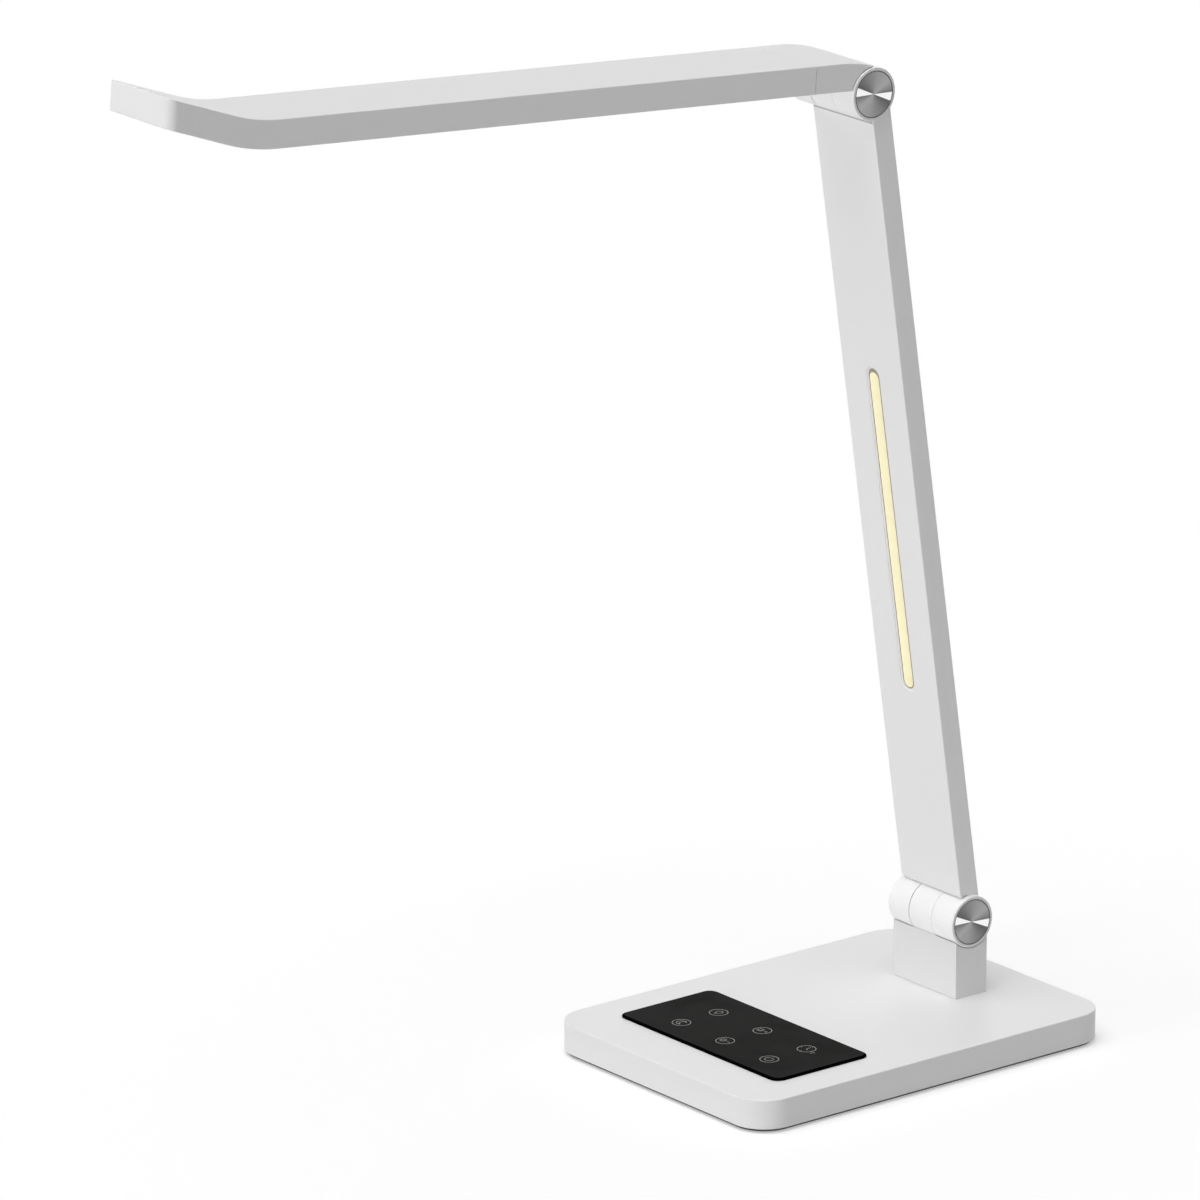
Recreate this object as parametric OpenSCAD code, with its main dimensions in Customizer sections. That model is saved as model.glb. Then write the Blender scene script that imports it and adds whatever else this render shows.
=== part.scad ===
// Folding LED desk lamp: a flat weighted base with a touch panel, a flat arm with a night light
// and a flat head that folds down onto the arm.
// X runs across the lamp, -Y is its front and Z is up. The origin is on the desk, under the
// middle of the base. The arm leans forward and the head is pitched up, as the lamp is used.

/* [Base] */
// Width of the base, side to side
base_w = 144.6; // [138:0.2:170]
// Depth of the base, front to back
base_d = 200; // [194:1:230]
// Height of the base's top face above the desk
base_h = 15.3; // [14.8:0.1:18]
// Plan radius of the base's corners
base_corner_r = 16; // [12:1:20]
// Wall of the base shell's sides
base_wall = 2.2; // [1.8:0.1:2.6]
// Thickness of the base shell's top
base_top_t = 2.6; // [2.4:0.1:3]
// Height of the base shell's lower edge above the desk
shell_gap = 1.9; // [1.6:0.1:2.2]
// How far the bottom plate's edge stands back from the base shell
plate_inset = 1.4; // [1:0.1:2]
// Thickness of the rubber pad that the lamp stands on
pad_t = 1.2; // [1:0.1:1.6]

/* [Touch panel] */
// Width of the touch panel
panel_w = 108; // [100:1:114]
// Depth of the touch panel, front to back
panel_d = 51.5; // [46:0.5:54]
// Distance of the touch panel's front edge from the base's front edge
panel_front = 25; // [20:0.5:28]
// How far the touch panel stands above the base's top
panel_proud = 1.2; // [0.8:0.1:1.6]
// Columns of touch keys, side to side
key_pitch_x = 30.2; // [26:0.2:32]
// Rows of touch keys, front to back
key_pitch_y = 21; // [18:0.5:24]

/* [Hinges] */
// Radius of the hinge barrels
barrel_r = 11.8; // [11.8:0.1:13]
// Width of the middle knuckle of each hinge
knuckle_w = 15; // [13:0.5:15.5]
// Half of a barrel's length, without its end caps
barrel_half = 20.9; // [20.9:0.1:22]
// Wall of the hollow knuckles
knuckle_wall = 2; // [1.6:0.1:2]
// Radius of the hinge shafts
shaft_r = 4; // [3.5:0.1:4.4]
// Radius of a spun metal disc in a hinge's end cap
disc_r = 10.2; // [9.6:0.1:10.4]

/* [Pedestal] */
// Width of the pedestal
pedestal_w = 43; // [42:0.5:43.5]
// Depth of the pedestal, front to back
pedestal_d = 18; // [17:0.5:20]
// Distance of the lower hinge's axis from the base's back edge
axis_back = 37.2; // [35:0.2:40]
// Height of the lower hinge's axis above the desk
axis_z = 49.7; // [47:0.1:56]

/* [Arm] */
// Distance between the two hinge axes
arm_len = 390.4; // [370:0.2:420]
// Lean of the line through both axes, forward from upright
arm_lean = 8.85; // [0:0.05:20]
// Width of the arm
arm_w = 40; // [39:0.2:41]
// How far the arm's front face lies in front of the lower axis
arm_front_low = 3.65; // [3.4:0.05:3.8]
// How far the arm's front face lies in front of the upper axis
arm_front_high = 1; // [0.8:0.05:1.3]
// Thickness of the arm
arm_t = 10.4; // [10.2:0.1:11]
// Wall of the arm's shells
arm_wall = 1.8; // [1.5:0.1:2]
// Width of the night light's slot
slot_w = 7.2; // [6:0.2:8]
// Length of the night light's slot
slot_len = 151.2; // [120:0.2:170]
// Distance of the slot's lower end above the lower axis
slot_start = 107.9; // [98:0.1:115]

/* [Head] */
// Pitch of the head above level
head_pitch = 4.8; // [0:0.05:10]
// Length of the head from the upper axis to its end
head_len = 375.4; // [365:0.2:380]
// Width of the head
head_w = 42.6; // [42.2:0.2:43.4]
// Height of the head's underside above the upper axis
head_low = 2.2; // [2:0.1:2.6]
// Thickness of the head
head_t = 12.4; // [12.2:0.1:13.4]
// Wall of the head's shells
head_wall = 1.8; // [1.5:0.1:2]
// Distance of the seam between the hinge cover and the long shell from the upper axis
head_seam = 32.4; // [30:0.2:34]
// Distance from the upper axis to where the tip starts to turn up
bend_start = 318; // [316:1:326]
// Radius of the turned-up tip's underside
bend_r = 96; // [80:1:100]
// Turn of the tip, in degrees
bend_turn = 16; // [12:1:20]
// Plan radius of the tip's two corners
tip_corner_r = 5; // [3:0.5:8]

/* [Clearances] */
// Play between a shaft and the bore that turns on it
shaft_play = 0.05; // [0.02:0.01:0.09]
// Gap between two parts that turn past each other
turn_gap = 0.35; // [0.3:0.05:0.45]
// Gap between two pieces that are fitted together
fit_gap = 0.2; // [0.1:0.05:0.25]

/* [Hidden] */
$fn = 64;
cut = 1;              // how far a cutting shape runs past what it cuts
big = 100;            // half-size of a cutting block

// Heights in the base
pad_proud = 0.6;                          // how far the pad stands below the bottom plate
plate_z = pad_proud;                      // underside of the bottom plate
plate_lip_t = 1.6;                        // part of the plate that reaches into the shell
plate_top = shell_gap + plate_lip_t;
base_ceiling = base_h - base_top_t;
base_inner_w = base_w - 2 * base_wall;
base_inner_d = base_d - 2 * base_wall;

// Screws: radius of the thread, its hole, the head and the head's height
screw_r = 1.3;
screw_hole_r = screw_r + 0.05;
screw_head_r = 2.6;
screw_head_h = 1.3;
small_screw_r = 0.8;
small_hole_r = small_screw_r + 0.05;
small_head_r = 1.7;
small_head_h = 1;
boss_r = 3;
small_boss_r = 2;
base_screw_x = base_inner_w / 2 - boss_r - 2.5;
base_screw_y = base_inner_d / 2 - boss_r - 7;
base_screw_places = [for (x = [-1, 1], y = [-1, 0, 1]) [x * base_screw_x, y * base_screw_y]];

pad_margin = 3;                           // between the pad and the case screws' heads
pad_w = 2 * (base_screw_x - screw_head_r - pad_margin);
pad_d = 2 * (base_screw_y - screw_head_r - pad_margin);
pad_corner_r = 8;

// Touch panel
panel_r = 4;
panel_y = panel_front + panel_d / 2 - base_d / 2;
panel_sink = 0.8;                         // depth of its recess in the shell
panel_z = base_h - panel_sink;
panel_t = panel_sink + panel_proud;
panel_ledge = 6;                          // width of the ledge that it is glued to
key_shift_x = 2;
key_shift_y = -1.5;
key_places = [for (i = [-1, 0, 1], j = [-1, 1])
    [key_shift_x + i * key_pitch_x, panel_y + key_shift_y + j * key_pitch_y / 2]];
board_t = 1.6;
touch_board_z = base_ceiling - 1.2 - board_t;
touch_board_w = panel_w - 2;
touch_board_d = panel_d - 2;
touch_screw_places = [for (x = [-1, 1], y = [-1, 1])
    [x * (touch_board_w / 2 - 2.5), panel_y + y * (touch_board_d / 2 - 2.5)]];

// Post, control board, power inlet and counterweight
axis_y = base_d / 2 - axis_back;
post_flange_w = 37;
post_flange_d = 30;
post_flange_t = 2.2;
post_stem_w = 12;
post_stem_d = 6;
counterweight_gap = 0.5;                  // room above the flange's screw heads
counterweight_t = base_ceiling - plate_top - post_flange_t - screw_head_h - counterweight_gap;
counterweight_w = 2 * (base_screw_x - boss_r - 2.5);
flange_z = plate_top + counterweight_t;
post_screw_places = [for (x = [-1, 1], y = [-1, 1])
    [x * (post_flange_w / 2 - 3.5), axis_y + y * (post_flange_d / 2 - 3.5)]];
control_w = 70;
control_d = 22;
board_spacing = 6.2;                      // between the touch board and the control board
control_y = panel_y + touch_board_d / 2 + board_spacing + control_d / 2;
standoff_h = 3;
control_z = plate_top + standoff_h;
control_top = control_z + board_t;
control_room = base_ceiling - control_top - 0.3;
control_screw_places = [for (x = [-1, 1], y = [-1, 1])
    [x * (control_w / 2 - 3), control_y + y * (control_d / 2 - 3)]];
chip_h = 1.2;
resistor_h = 0.6;
capacitor_r = 2.6;
jack_inset = 26.3;                        // of the inlet's middle, from the base's side
jack_x = base_w / 2 - jack_inset;
jack_w = 9;
jack_d = 12;
jack_h = base_ceiling - plate_top - 0.6;
jack_z = plate_top + 0.3 + jack_h / 2;
jack_nose_r = 3.7;
jack_bore_r = 2.8;
jack_pin_r = 1;
jack_bore_depth = 9.5;
jack_back_y = base_d / 2 - base_wall - fit_gap;
jack_spacing = 1.8;                       // between the counterweight and the inlet
counterweight_spacing = 4;                // between the control board and the counterweight
counterweight_front = control_y + control_d / 2 + counterweight_spacing;
counterweight_back = jack_back_y - jack_d - jack_spacing;

// Pedestal
pedestal_h = axis_z - base_h;
pedestal_wall = 2.2;
pedestal_roof = axis_z - barrel_r - turn_gap - pedestal_wall;
pedestal_screw_x = 15.5;
pedestal_screw_y = 3.3;
pedestal_boss_r = 2.7;
harness_x = 10;
harness_shift = 2;                        // sideways, between the control board and the post
harness_run = 30;                         // length of the straight run up to the post
harness_y = axis_y - 3;
harness_r = 1.2;
harness_hole_r = 1.9;

// Hinge stack along X
knuckle_half = knuckle_w / 2;
outer_start = knuckle_half + 0.3;         // inner face of an outer knuckle
knuckle_bore_r = barrel_r - knuckle_wall;
turn_r = barrel_r + turn_gap;
lug_r = knuckle_bore_r - 1.3;
lug_half = knuckle_half - 1;
shaft_bore_r = shaft_r + shaft_play;
ear_start = outer_start + 0.1;
ear_t = 2;
ear_end = ear_start + ear_t;
washer_r = lug_r - 0.5;
spring_t = 0.7;
spring_count = 3;
spring_end = ear_end + spring_count * (spring_t + 0.1);
nut_t = 3.6;
nut_end = spring_end + nut_t;
shaft_end = nut_end + 0.8;
shaft_head_r = 7;
shaft_head_t = 3;
cap_flange_t = 0.9;
cap_spigot = 2;
disc_t = 0.5;
disc_seat = 0.1;                          // how deep a disc lies below its ring

// Arm, in the frame of its own faces
arm_slant = atan((arm_front_low - arm_front_high) / arm_len);
arm_front = -arm_front_low;
arm_back = arm_t - arm_front_low;
arm_split = 0.6;                          // plane where the two shells meet
arm_in_w = arm_w - 2 * arm_wall;
arm_in_front = arm_front + arm_wall;
arm_in_back = arm_back - arm_wall;
upper_y = -arm_len * sin(arm_slant);
upper_z = arm_len * cos(arm_slant);
neck_z = barrel_r + 1.4;                  // lower edge of the arm's front face
neck_step = 0.8;
spine_t = 1.5;
spine_w = 16;
fork_plate_t = 2;
fork_plate_back = arm_in_back - spine_t - 0.1;
fork_plate_front = fork_plate_back - fork_plate_t;
fork_reach = 60;                          // length of a fork from its axis
spine_lap = 22;
fork_web_start = turn_r + 2;
spine_start = fork_reach - spine_lap;
spine_screw_z = [fork_reach - 16, fork_reach - 6];
arm_screw_x = 14.8;
arm_boss_r = 2.4;
arm_screw_z = [78, arm_len - 75];
arm_cable_x = 11.2;
arm_cable_r = 1.1;
arm_cable_lane = arm_split + 2.1;         // depth of the cable's lane in the back shell
arm_cable_out = harness_x + 4.5;          // where it enters a hinge
arm_cable_end = 8;                        // distance of its ends from the axes
arm_cable_turn = 49;                      // where it turns in from the hinge's lane

// Night light
slot_rim = 0.9;                           // width of the step round the slot
slot_rim_depth = 0.5;
diffuser_recess = 0.5;
diffuser_flange_t = 0.8;
diffuser_flange_edge = 1.5;
night_board_w = 6;
night_board_t = 1;
night_led_h = 0.7;
night_led_w = 2.8;
night_led_count = 18;
slot_end = slot_start + slot_len;
night_led_y = arm_in_front + diffuser_flange_t + 0.2;
night_board_y = night_led_y + night_led_h;

// Head
head_high = head_low + head_t;
head_curve_len = 20;                      // stretch where the top falls to the barrel
head_curve_r = (pow(head_curve_len, 2) + pow(head_high, 2) - pow(barrel_r, 2))
    / (2 * (head_high - barrel_r));
cover_lip = 1.5;                          // thin end of the hinge cover, ahead of the axis
head_in_w = head_w - 2 * head_wall;
bend_steps = 12;                          // flats round the bend
bezel_t = 1.6;
light_start = 76;
light_end = bend_start - 10;
light_edge = 4.4;                         // from the shell's inner side to the light guide
window_margin = 2;
diffuser_flange_up = 0.8;
guide_t = 2.5;
guide_w = head_in_w - light_edge;
guide_z = head_low + bezel_t + diffuser_flange_up + 0.2;
reflector_t = 0.3;
reflector_z = guide_z + guide_t + 0.1;
heat_sink_t = 1.5;
heat_sink_z = reflector_z + reflector_t + 0.2;
heat_sink_w = head_in_w - 2.7;
heat_sink_start = light_start - 8;
heat_sink_end = light_end + 8;
led_board_t = 1;
led_board_h = 4;
led_board_x = head_in_w / 2 - fit_gap - led_board_t;
led_pitch = 9.6;
led_len = 3;
led_h = 1.4;
led_t = led_board_x - guide_w / 2 - 0.1;
led_count = floor((light_end - light_start - 2 * led_len) / led_pitch);
heat_screw_places = [for (x = [-1, 1], y = [heat_sink_start + 3.5, heat_sink_end - 3.5])
    [x * 12, -y]];
lug_plate_t = 2.5;
lug_plate_z = lug_r - lug_plate_t;
lug_plate_w = 26;
lug_plate_start = head_seam + 2;
lug_plate_end = heat_sink_start - 2;
lug_screw_places = [for (x = [-1, 1], y = [lug_plate_start + 5, lug_plate_end - 5])
    [x * 9, -y]];

// Colours
white = [0.93, 0.93, 0.93];
white_low = [0.88, 0.88, 0.88];
black = [0.06, 0.06, 0.06];
dark = [0.3, 0.3, 0.3];
steel = [0.6, 0.61, 0.62];
spun = [0.74, 0.74, 0.75];
rubber = [0.15, 0.15, 0.15];
pcb_green = [0.1, 0.35, 0.2];
pcb_white = [0.95, 0.95, 0.92];
warm = [1, 0.9, 0.62];
opal = [0.97, 0.97, 0.95];
clear = [0.85, 0.92, 0.95];

// Frames: the lower axis, the arm's line, the arm's own faces and the head
module at_lower_axis() translate([0, axis_y, axis_z]) children();
module at_arm() at_lower_axis() rotate([arm_lean, 0, 0]) children();
module at_arm_faces() at_arm() rotate([-arm_slant, 0, 0]) children();
module at_upper_end() at_arm_faces() translate([0, upper_y, upper_z]) children();
module at_head() at_arm() translate([0, 0, arm_len]) rotate([-arm_lean - head_pitch, 0, 0]) children();

// A flat rectangle with round corners, centred
module rounded_rect(w, d, r) {
    square([w - 2 * r, d], center = true);
    square([w, d - 2 * r], center = true);
    for (x = [-1, 1], y = [-1, 1])
        translate([x * (w / 2 - r), y * (d / 2 - r)]) circle(r);
}

// A plate with round corners from height z0 to z1
module plate(w, d, r, z0, z1) {
    translate([0, 0, z0]) linear_extrude(z1 - z0) rounded_rect(w, d, r);
}

// A block given by its limits along each axis
module block(x, y, z) {
    translate([x[0], y[0], z[0]]) cube([x[1] - x[0], y[1] - y[0], z[1] - z[0]]);
}

// A cylinder along X from x0 to x1
module bar_x(r, x0, x1) {
    translate([x0, 0, 0]) rotate([0, 90, 0]) cylinder(r = r, h = x1 - x0);
}

// A ring along X from x0 to x1
module ring_x(r_out, r_in, x0, x1) {
    difference() {
        bar_x(r_out, x0, x1);
        bar_x(r_in, x0 - cut, x1 + cut);
    }
}

// A pair of children, mirrored side to side
module both_sides() {
    children();
    mirror([1, 0, 0]) children();
}

// An upright screw: head from z to z + head_h, thread up from there
module screw_up(r, head_r, head_h, z, length) {
    translate([0, 0, z]) cylinder(r = head_r, h = head_h);
    translate([0, 0, z + head_h]) cylinder(r = r, h = length);
}

// A round wire swept along the points, with eight sides
function unit(v) = v / norm(v);
function wire_dir(p, i) =
    unit(p[min(i + 1, len(p) - 1)] - p[max(i - 1, 0)]);
function wire_side(d) = unit(cross(abs(d[0]) < 0.9 ? [1, 0, 0] : [0, 1, 0], d));
function wire_ring(p, i, r) =
    let (d = wire_dir(p, i), u = wire_side(d), v = cross(d, u))
    [for (a = [0 : 45 : 315]) p[i] + r * (u * cos(a) + v * sin(a))];
module wire(p, r) {
    sides = 8;
    rings = len(p);
    points = [for (i = [0 : rings - 1]) each wire_ring(p, i, r)];
    walls = [for (i = [0 : rings - 2], j = [0 : sides - 1]) let (k = (j + 1) % sides)
        [(i + 1) * sides + j, (i + 1) * sides + k, i * sides + k, i * sides + j]];
    start = [for (j = [0 : sides - 1]) j];
    end = [for (j = [sides - 1 : -1 : 0]) (rings - 1) * sides + j];
    polyhedron(points, concat(walls, [start, end]));
}

// ---------------------------------------------------------------- base

module base_shell() {
    color(white) difference() {
        union() {
            difference() {
                plate(base_w, base_d, base_corner_r, shell_gap, base_h);
                plate(base_inner_w, base_inner_d, base_corner_r - base_wall,
                    shell_gap - cut, base_ceiling);
            }
            for (p = base_screw_places) translate([p[0], p[1], plate_top + 0.1])
                cylinder(r = boss_r, h = base_ceiling - plate_top);
            for (p = touch_screw_places) translate([p[0], p[1], touch_board_z + board_t])
                cylinder(r = small_boss_r, h = panel_z - touch_board_z - board_t - 0.6);
        }
        translate([0, panel_y, 0]) {
            plate(panel_w + 2 * fit_gap, panel_d + 2 * fit_gap, panel_r + fit_gap, panel_z, base_h + cut);
            plate(panel_w - 2 * panel_ledge, panel_d - 2 * panel_ledge, 2, base_ceiling - cut, base_h);
        }
        for (p = base_screw_places) translate([p[0], p[1], plate_top - cut])
            cylinder(r = screw_hole_r, h = base_ceiling - plate_top + cut - 0.8);
        for (p = touch_screw_places) translate([p[0], p[1], touch_board_z])
            cylinder(r = small_hole_r, h = board_t + 1.8);
        block([-post_stem_w / 2 - fit_gap, post_stem_w / 2 + fit_gap],
            [axis_y - post_stem_d / 2 - fit_gap, axis_y + post_stem_d / 2 + fit_gap],
            [base_ceiling - cut, base_h + cut]);
        for (x = [-1, 1]) translate([x * pedestal_screw_x, axis_y + pedestal_screw_y, base_ceiling - cut])
            cylinder(r = screw_hole_r, h = base_top_t + 2 * cut);
        translate([harness_x, harness_y, base_ceiling - cut])
            cylinder(r = harness_hole_r, h = base_top_t + 2 * cut);
        translate([jack_x, base_d / 2 - base_wall - cut, jack_z]) rotate([-90, 0, 0])
            cylinder(r = jack_nose_r + fit_gap, h = base_wall + 2 * cut);
    }
}

module base_bottom_plate() {
    color(dark) difference() {
        union() {
            plate(base_w - 2 * plate_inset, base_d - 2 * plate_inset,
                base_corner_r - plate_inset, plate_z, shell_gap);
            plate(base_inner_w - 2 * fit_gap, base_inner_d - 2 * fit_gap,
                base_corner_r - base_wall - fit_gap, shell_gap, plate_top);
            for (p = control_screw_places) translate([p[0], p[1], plate_top])
                cylinder(r = small_boss_r, h = standoff_h);
        }
        for (p = control_screw_places) translate([p[0], p[1], plate_top - 1])
            cylinder(r = small_hole_r, h = standoff_h + cut + 1);
        for (p = base_screw_places) translate([p[0], p[1], 0]) {
            cylinder(r = screw_hole_r + 0.2, h = plate_top + cut);
            cylinder(r = screw_head_r + fit_gap, h = plate_z + 0.2 + screw_head_h);
        }
        plate(pad_w + 2 * fit_gap, pad_d + 2 * fit_gap, pad_corner_r + fit_gap, 0, pad_t);
    }
}

module non_slip_pad() {
    color(rubber) plate(pad_w, pad_d, pad_corner_r, 0, pad_t);
}

module base_screws() {
    color(steel) for (p = base_screw_places) translate([p[0], p[1], 0])
        screw_up(screw_r, screw_head_r, screw_head_h, plate_z + 0.2, 8);
}

module counterweight() {
    color(steel) difference() {
        block([-counterweight_w / 2, counterweight_w / 2],
            [counterweight_front, counterweight_back], [plate_top, plate_top + counterweight_t]);
        for (p = post_screw_places) translate([p[0], p[1], plate_top + 1])
            cylinder(r = screw_hole_r, h = counterweight_t);
    }
}

module touch_panel() {
    chamfer = 0.5;
    color(black) translate([0, panel_y, 0]) {
        plate(panel_w, panel_d, panel_r, panel_z, panel_z + panel_t - chamfer);
        plate(panel_w - 2 * chamfer, panel_d - 2 * chamfer, panel_r - chamfer,
            panel_z + panel_t - chamfer, panel_z + panel_t);
    }
}

module touch_board() {
    color(pcb_green) difference() {
        translate([0, panel_y, 0])
            plate(touch_board_w, touch_board_d, 1, touch_board_z, touch_board_z + board_t);
        for (p = touch_screw_places) translate([p[0], p[1], touch_board_z - cut])
            cylinder(r = small_hole_r + 0.1, h = board_t + 2 * cut);
    }
}

module touch_springs() {
    spring_r = 3;
    color(steel) for (p = key_places) translate([p[0], p[1], touch_board_z + board_t])
        difference() {
            cylinder(r = spring_r, h = panel_z - touch_board_z - board_t);
            translate([0, 0, 0.4]) cylinder(r = spring_r - 0.6, h = panel_z);
        }
}

module touch_board_screws() {
    color(steel) for (p = touch_screw_places) translate([p[0], p[1], 0])
        screw_up(small_screw_r, small_head_r, small_head_h, touch_board_z - small_head_h, board_t + 1.4);
}

module control_board() {
    color(pcb_green) difference() {
        translate([0, control_y, 0]) plate(control_w, control_d, 1, control_z, control_top);
        for (p = control_screw_places) translate([p[0], p[1], control_z - cut])
            cylinder(r = small_hole_r + 0.1, h = board_t + 2 * cut);
    }
}

module control_components() {
    tall = min(control_room, 4);
    color(dark) translate([0, control_y, control_top]) {
        block([-0.37, -0.26] * control_w, [-0.18, 0.18] * control_d, [0, tall]);
        block([-0.17, -0.09] * control_w, [-0.14, 0.14] * control_d, [0, chip_h]);
        for (x = [0, 0.11]) translate([x * control_w, -0.14 * control_d, 0])
            cylinder(r = capacitor_r, h = tall);
        block([0.06, 0.17] * control_w, [0.18, 0.4] * control_d, [0, tall - resistor_h]);
        block([0.23, 0.34] * control_w, [-0.36, -0.14] * control_d, [0, tall - resistor_h]);
        for (x = [0.24 : 0.04 : 0.37])
            block([x, x + 0.022] * control_w, [0.09, 0.13] * control_d, [0, resistor_h]);
    }
}

module control_board_screws() {
    color(steel) for (p = control_screw_places) translate([p[0], p[1], control_top + small_head_h])
        mirror([0, 0, 1]) screw_up(small_screw_r, small_head_r, small_head_h, 0, board_t + 2.4);
}

module dc_jack() {
    color(black) translate([jack_x, 0, jack_z]) {
        difference() {
            union() {
                block([-jack_w / 2, jack_w / 2], [jack_back_y - jack_d, jack_back_y],
                    [-jack_h / 2, jack_h / 2]);
                translate([0, jack_back_y, 0]) rotate([-90, 0, 0])
                    cylinder(r = jack_nose_r, h = base_d / 2 - jack_back_y);
            }
            translate([0, base_d / 2 - jack_bore_depth, 0]) rotate([-90, 0, 0])
                cylinder(r = jack_bore_r, h = jack_bore_depth + cut);
        }
        translate([0, base_d / 2 - jack_bore_depth, 0]) rotate([-90, 0, 0])
            cylinder(r = jack_pin_r, h = jack_bore_depth - 1);
    }
}

module base_harness() {
    lane = flange_z + harness_r + 0.2;
    start_x = harness_x - harness_shift;
    start_y = control_y + control_d / 2;
    color(black) wire([
        [start_x, start_y, lane], [start_x, start_y + counterweight_spacing, lane],
        [harness_x, harness_y - harness_run, lane],
        [harness_x, harness_y - 6 * harness_r, lane], [harness_x, harness_y - 2 * harness_r, lane],
        [harness_x, harness_y - 0.6 * harness_r, lane + 0.5 * harness_r],
        [harness_x, harness_y, lane + 2 * harness_r],
        [harness_x, harness_y, base_h + pedestal_wall], [harness_x, harness_y, pedestal_roof - 1]
    ], harness_r);
}

module pedestal() {
    half_w = pedestal_w / 2;
    half_d = pedestal_d / 2;
    color(white) at_lower_axis() difference() {
        union() {
            difference() {
                block([-half_w, half_w], [-half_d, half_d], [-pedestal_h, 0]);
                block([-half_w + pedestal_wall, half_w - pedestal_wall],
                    [-half_d + pedestal_wall, half_d - pedestal_wall],
                    [-pedestal_h - cut, pedestal_roof - axis_z]);
                both_sides() bar_x(turn_r, knuckle_half, big);
            }
            bar_x(barrel_r, -knuckle_half, knuckle_half);
            for (x = [-1, 1]) translate([x * pedestal_screw_x, pedestal_screw_y, -pedestal_h])
                cylinder(r = pedestal_boss_r, h = pedestal_roof - base_h + cut);
        }
        bar_x(knuckle_bore_r, -big, big);
        block([-post_stem_w / 2 - fit_gap, post_stem_w / 2 + fit_gap],
            [-post_stem_d / 2 - fit_gap, post_stem_d / 2 + fit_gap], [-pedestal_h, 0]);
        for (x = [-1, 1]) translate([x * pedestal_screw_x, pedestal_screw_y, -pedestal_h - cut])
            cylinder(r = screw_hole_r, h = 9);
    }
}

module pedestal_screws() {
    head_t = 1;
    color(steel) for (x = [-1, 1])
        translate([x * pedestal_screw_x, axis_y + pedestal_screw_y, 0])
            screw_up(screw_r, screw_head_r, head_t, base_ceiling - head_t, base_top_t + 6);
}

module hinge_post() {
    notch_w = 2 * harness_r + 1;
    color(steel) difference() {
        union() {
            block([-post_flange_w / 2, post_flange_w / 2],
                [axis_y - post_flange_d / 2, axis_y + post_flange_d / 2],
                [flange_z, flange_z + post_flange_t]);
            block([-post_stem_w / 2, post_stem_w / 2],
                [axis_y - post_stem_d / 2, axis_y + post_stem_d / 2], [flange_z, axis_z]);
            at_lower_axis() bar_x(lug_r, -lug_half, lug_half);
        }
        at_lower_axis() bar_x(shaft_bore_r, -big, big);
        for (p = post_screw_places) translate([p[0], p[1], flange_z - cut])
            cylinder(r = screw_hole_r + 0.2, h = post_flange_t + 2 * cut);
        block([harness_x - notch_w / 2, harness_x + notch_w / 2],
            [axis_y - post_flange_d, harness_y + harness_hole_r], [flange_z - cut, flange_z + 4]);
    }
}

module post_screws() {
    top = flange_z + post_flange_t + screw_head_h;
    reach = post_flange_t + counterweight_t - 1.3;
    color(steel) for (p = post_screw_places) translate([p[0], p[1], top])
        mirror([0, 0, 1]) screw_up(screw_r, screw_head_r, screw_head_h, 0, reach);
}

// ---------------------------------------------------------------- hinges, on an axis along X

// Space that a middle knuckle turns in, and the shaft's ears beside it
module knuckle_space() bar_x(turn_r, -outer_start, outer_start);

module outer_knuckles() both_sides() bar_x(barrel_r, outer_start, barrel_half);

module knuckle_bores() both_sides() bar_x(knuckle_bore_r, outer_start - cut, barrel_half + cut);

module shaft() {
    color(steel) {
        bar_x(shaft_r, -ear_end, shaft_end);
        bar_x(shaft_head_r, -ear_end - shaft_head_t, -ear_end);
    }
}

module friction_washers() {
    color(dark) both_sides() ring_x(washer_r, shaft_bore_r, lug_half + 0.3, ear_start);
}

module spring_washers() {
    color(steel) for (i = [0 : spring_count - 1])
        ring_x(washer_r - 1.5, shaft_bore_r, ear_end + i * (spring_t + 0.1),
            ear_end + i * (spring_t + 0.1) + spring_t);
}

module nut() {
    nut_r = 7;
    color(steel) translate([spring_end, 0, 0]) rotate([0, 90, 0]) difference() {
        cylinder(r = nut_r, h = nut_t, $fn = 6);
        translate([0, 0, -cut]) cylinder(r = shaft_bore_r, h = nut_t + 2 * cut);
    }
}

module caps() {
    color(white) both_sides() difference() {
        union() {
            bar_x(barrel_r, barrel_half, barrel_half + cap_flange_t);
            bar_x(knuckle_bore_r - 0.1, barrel_half - cap_spigot, barrel_half);
        }
        bar_x(knuckle_bore_r - 1.4, barrel_half - cap_spigot - cut, barrel_half - 0.4);
        bar_x(disc_r + 0.05, barrel_half + cap_flange_t - disc_t - disc_seat, big);
    }
}

module discs() {
    seat = barrel_half + cap_flange_t - disc_t - disc_seat;
    color(spun) both_sides() bar_x(disc_r, seat, seat + disc_t);
}

// A steel fork: two ears on the shaft and a plate that reaches up the arm from them
module fork(shift) {
    ear_front = arm_in_front + 0.4;
    half = ear_end;
    difference() {
        union() {
            both_sides() {
                bar_x(lug_r, ear_start, ear_end);
                block([ear_start, ear_end], [ear_front - shift, fork_plate_back - shift], [0, 30]);
            }
            block([-half, half], [fork_plate_front - shift, fork_plate_back - shift],
                [fork_web_start, fork_reach]);
        }
        bar_x(shaft_bore_r, -big, big);
        for (z = spine_screw_z, x = [-1, 1])
            translate([x * 4.5, fork_plate_front - shift - cut, z]) rotate([-90, 0, 0])
                cylinder(r = screw_hole_r, h = fork_plate_t + 2 * cut);
    }
}

// ---------------------------------------------------------------- arm

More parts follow.
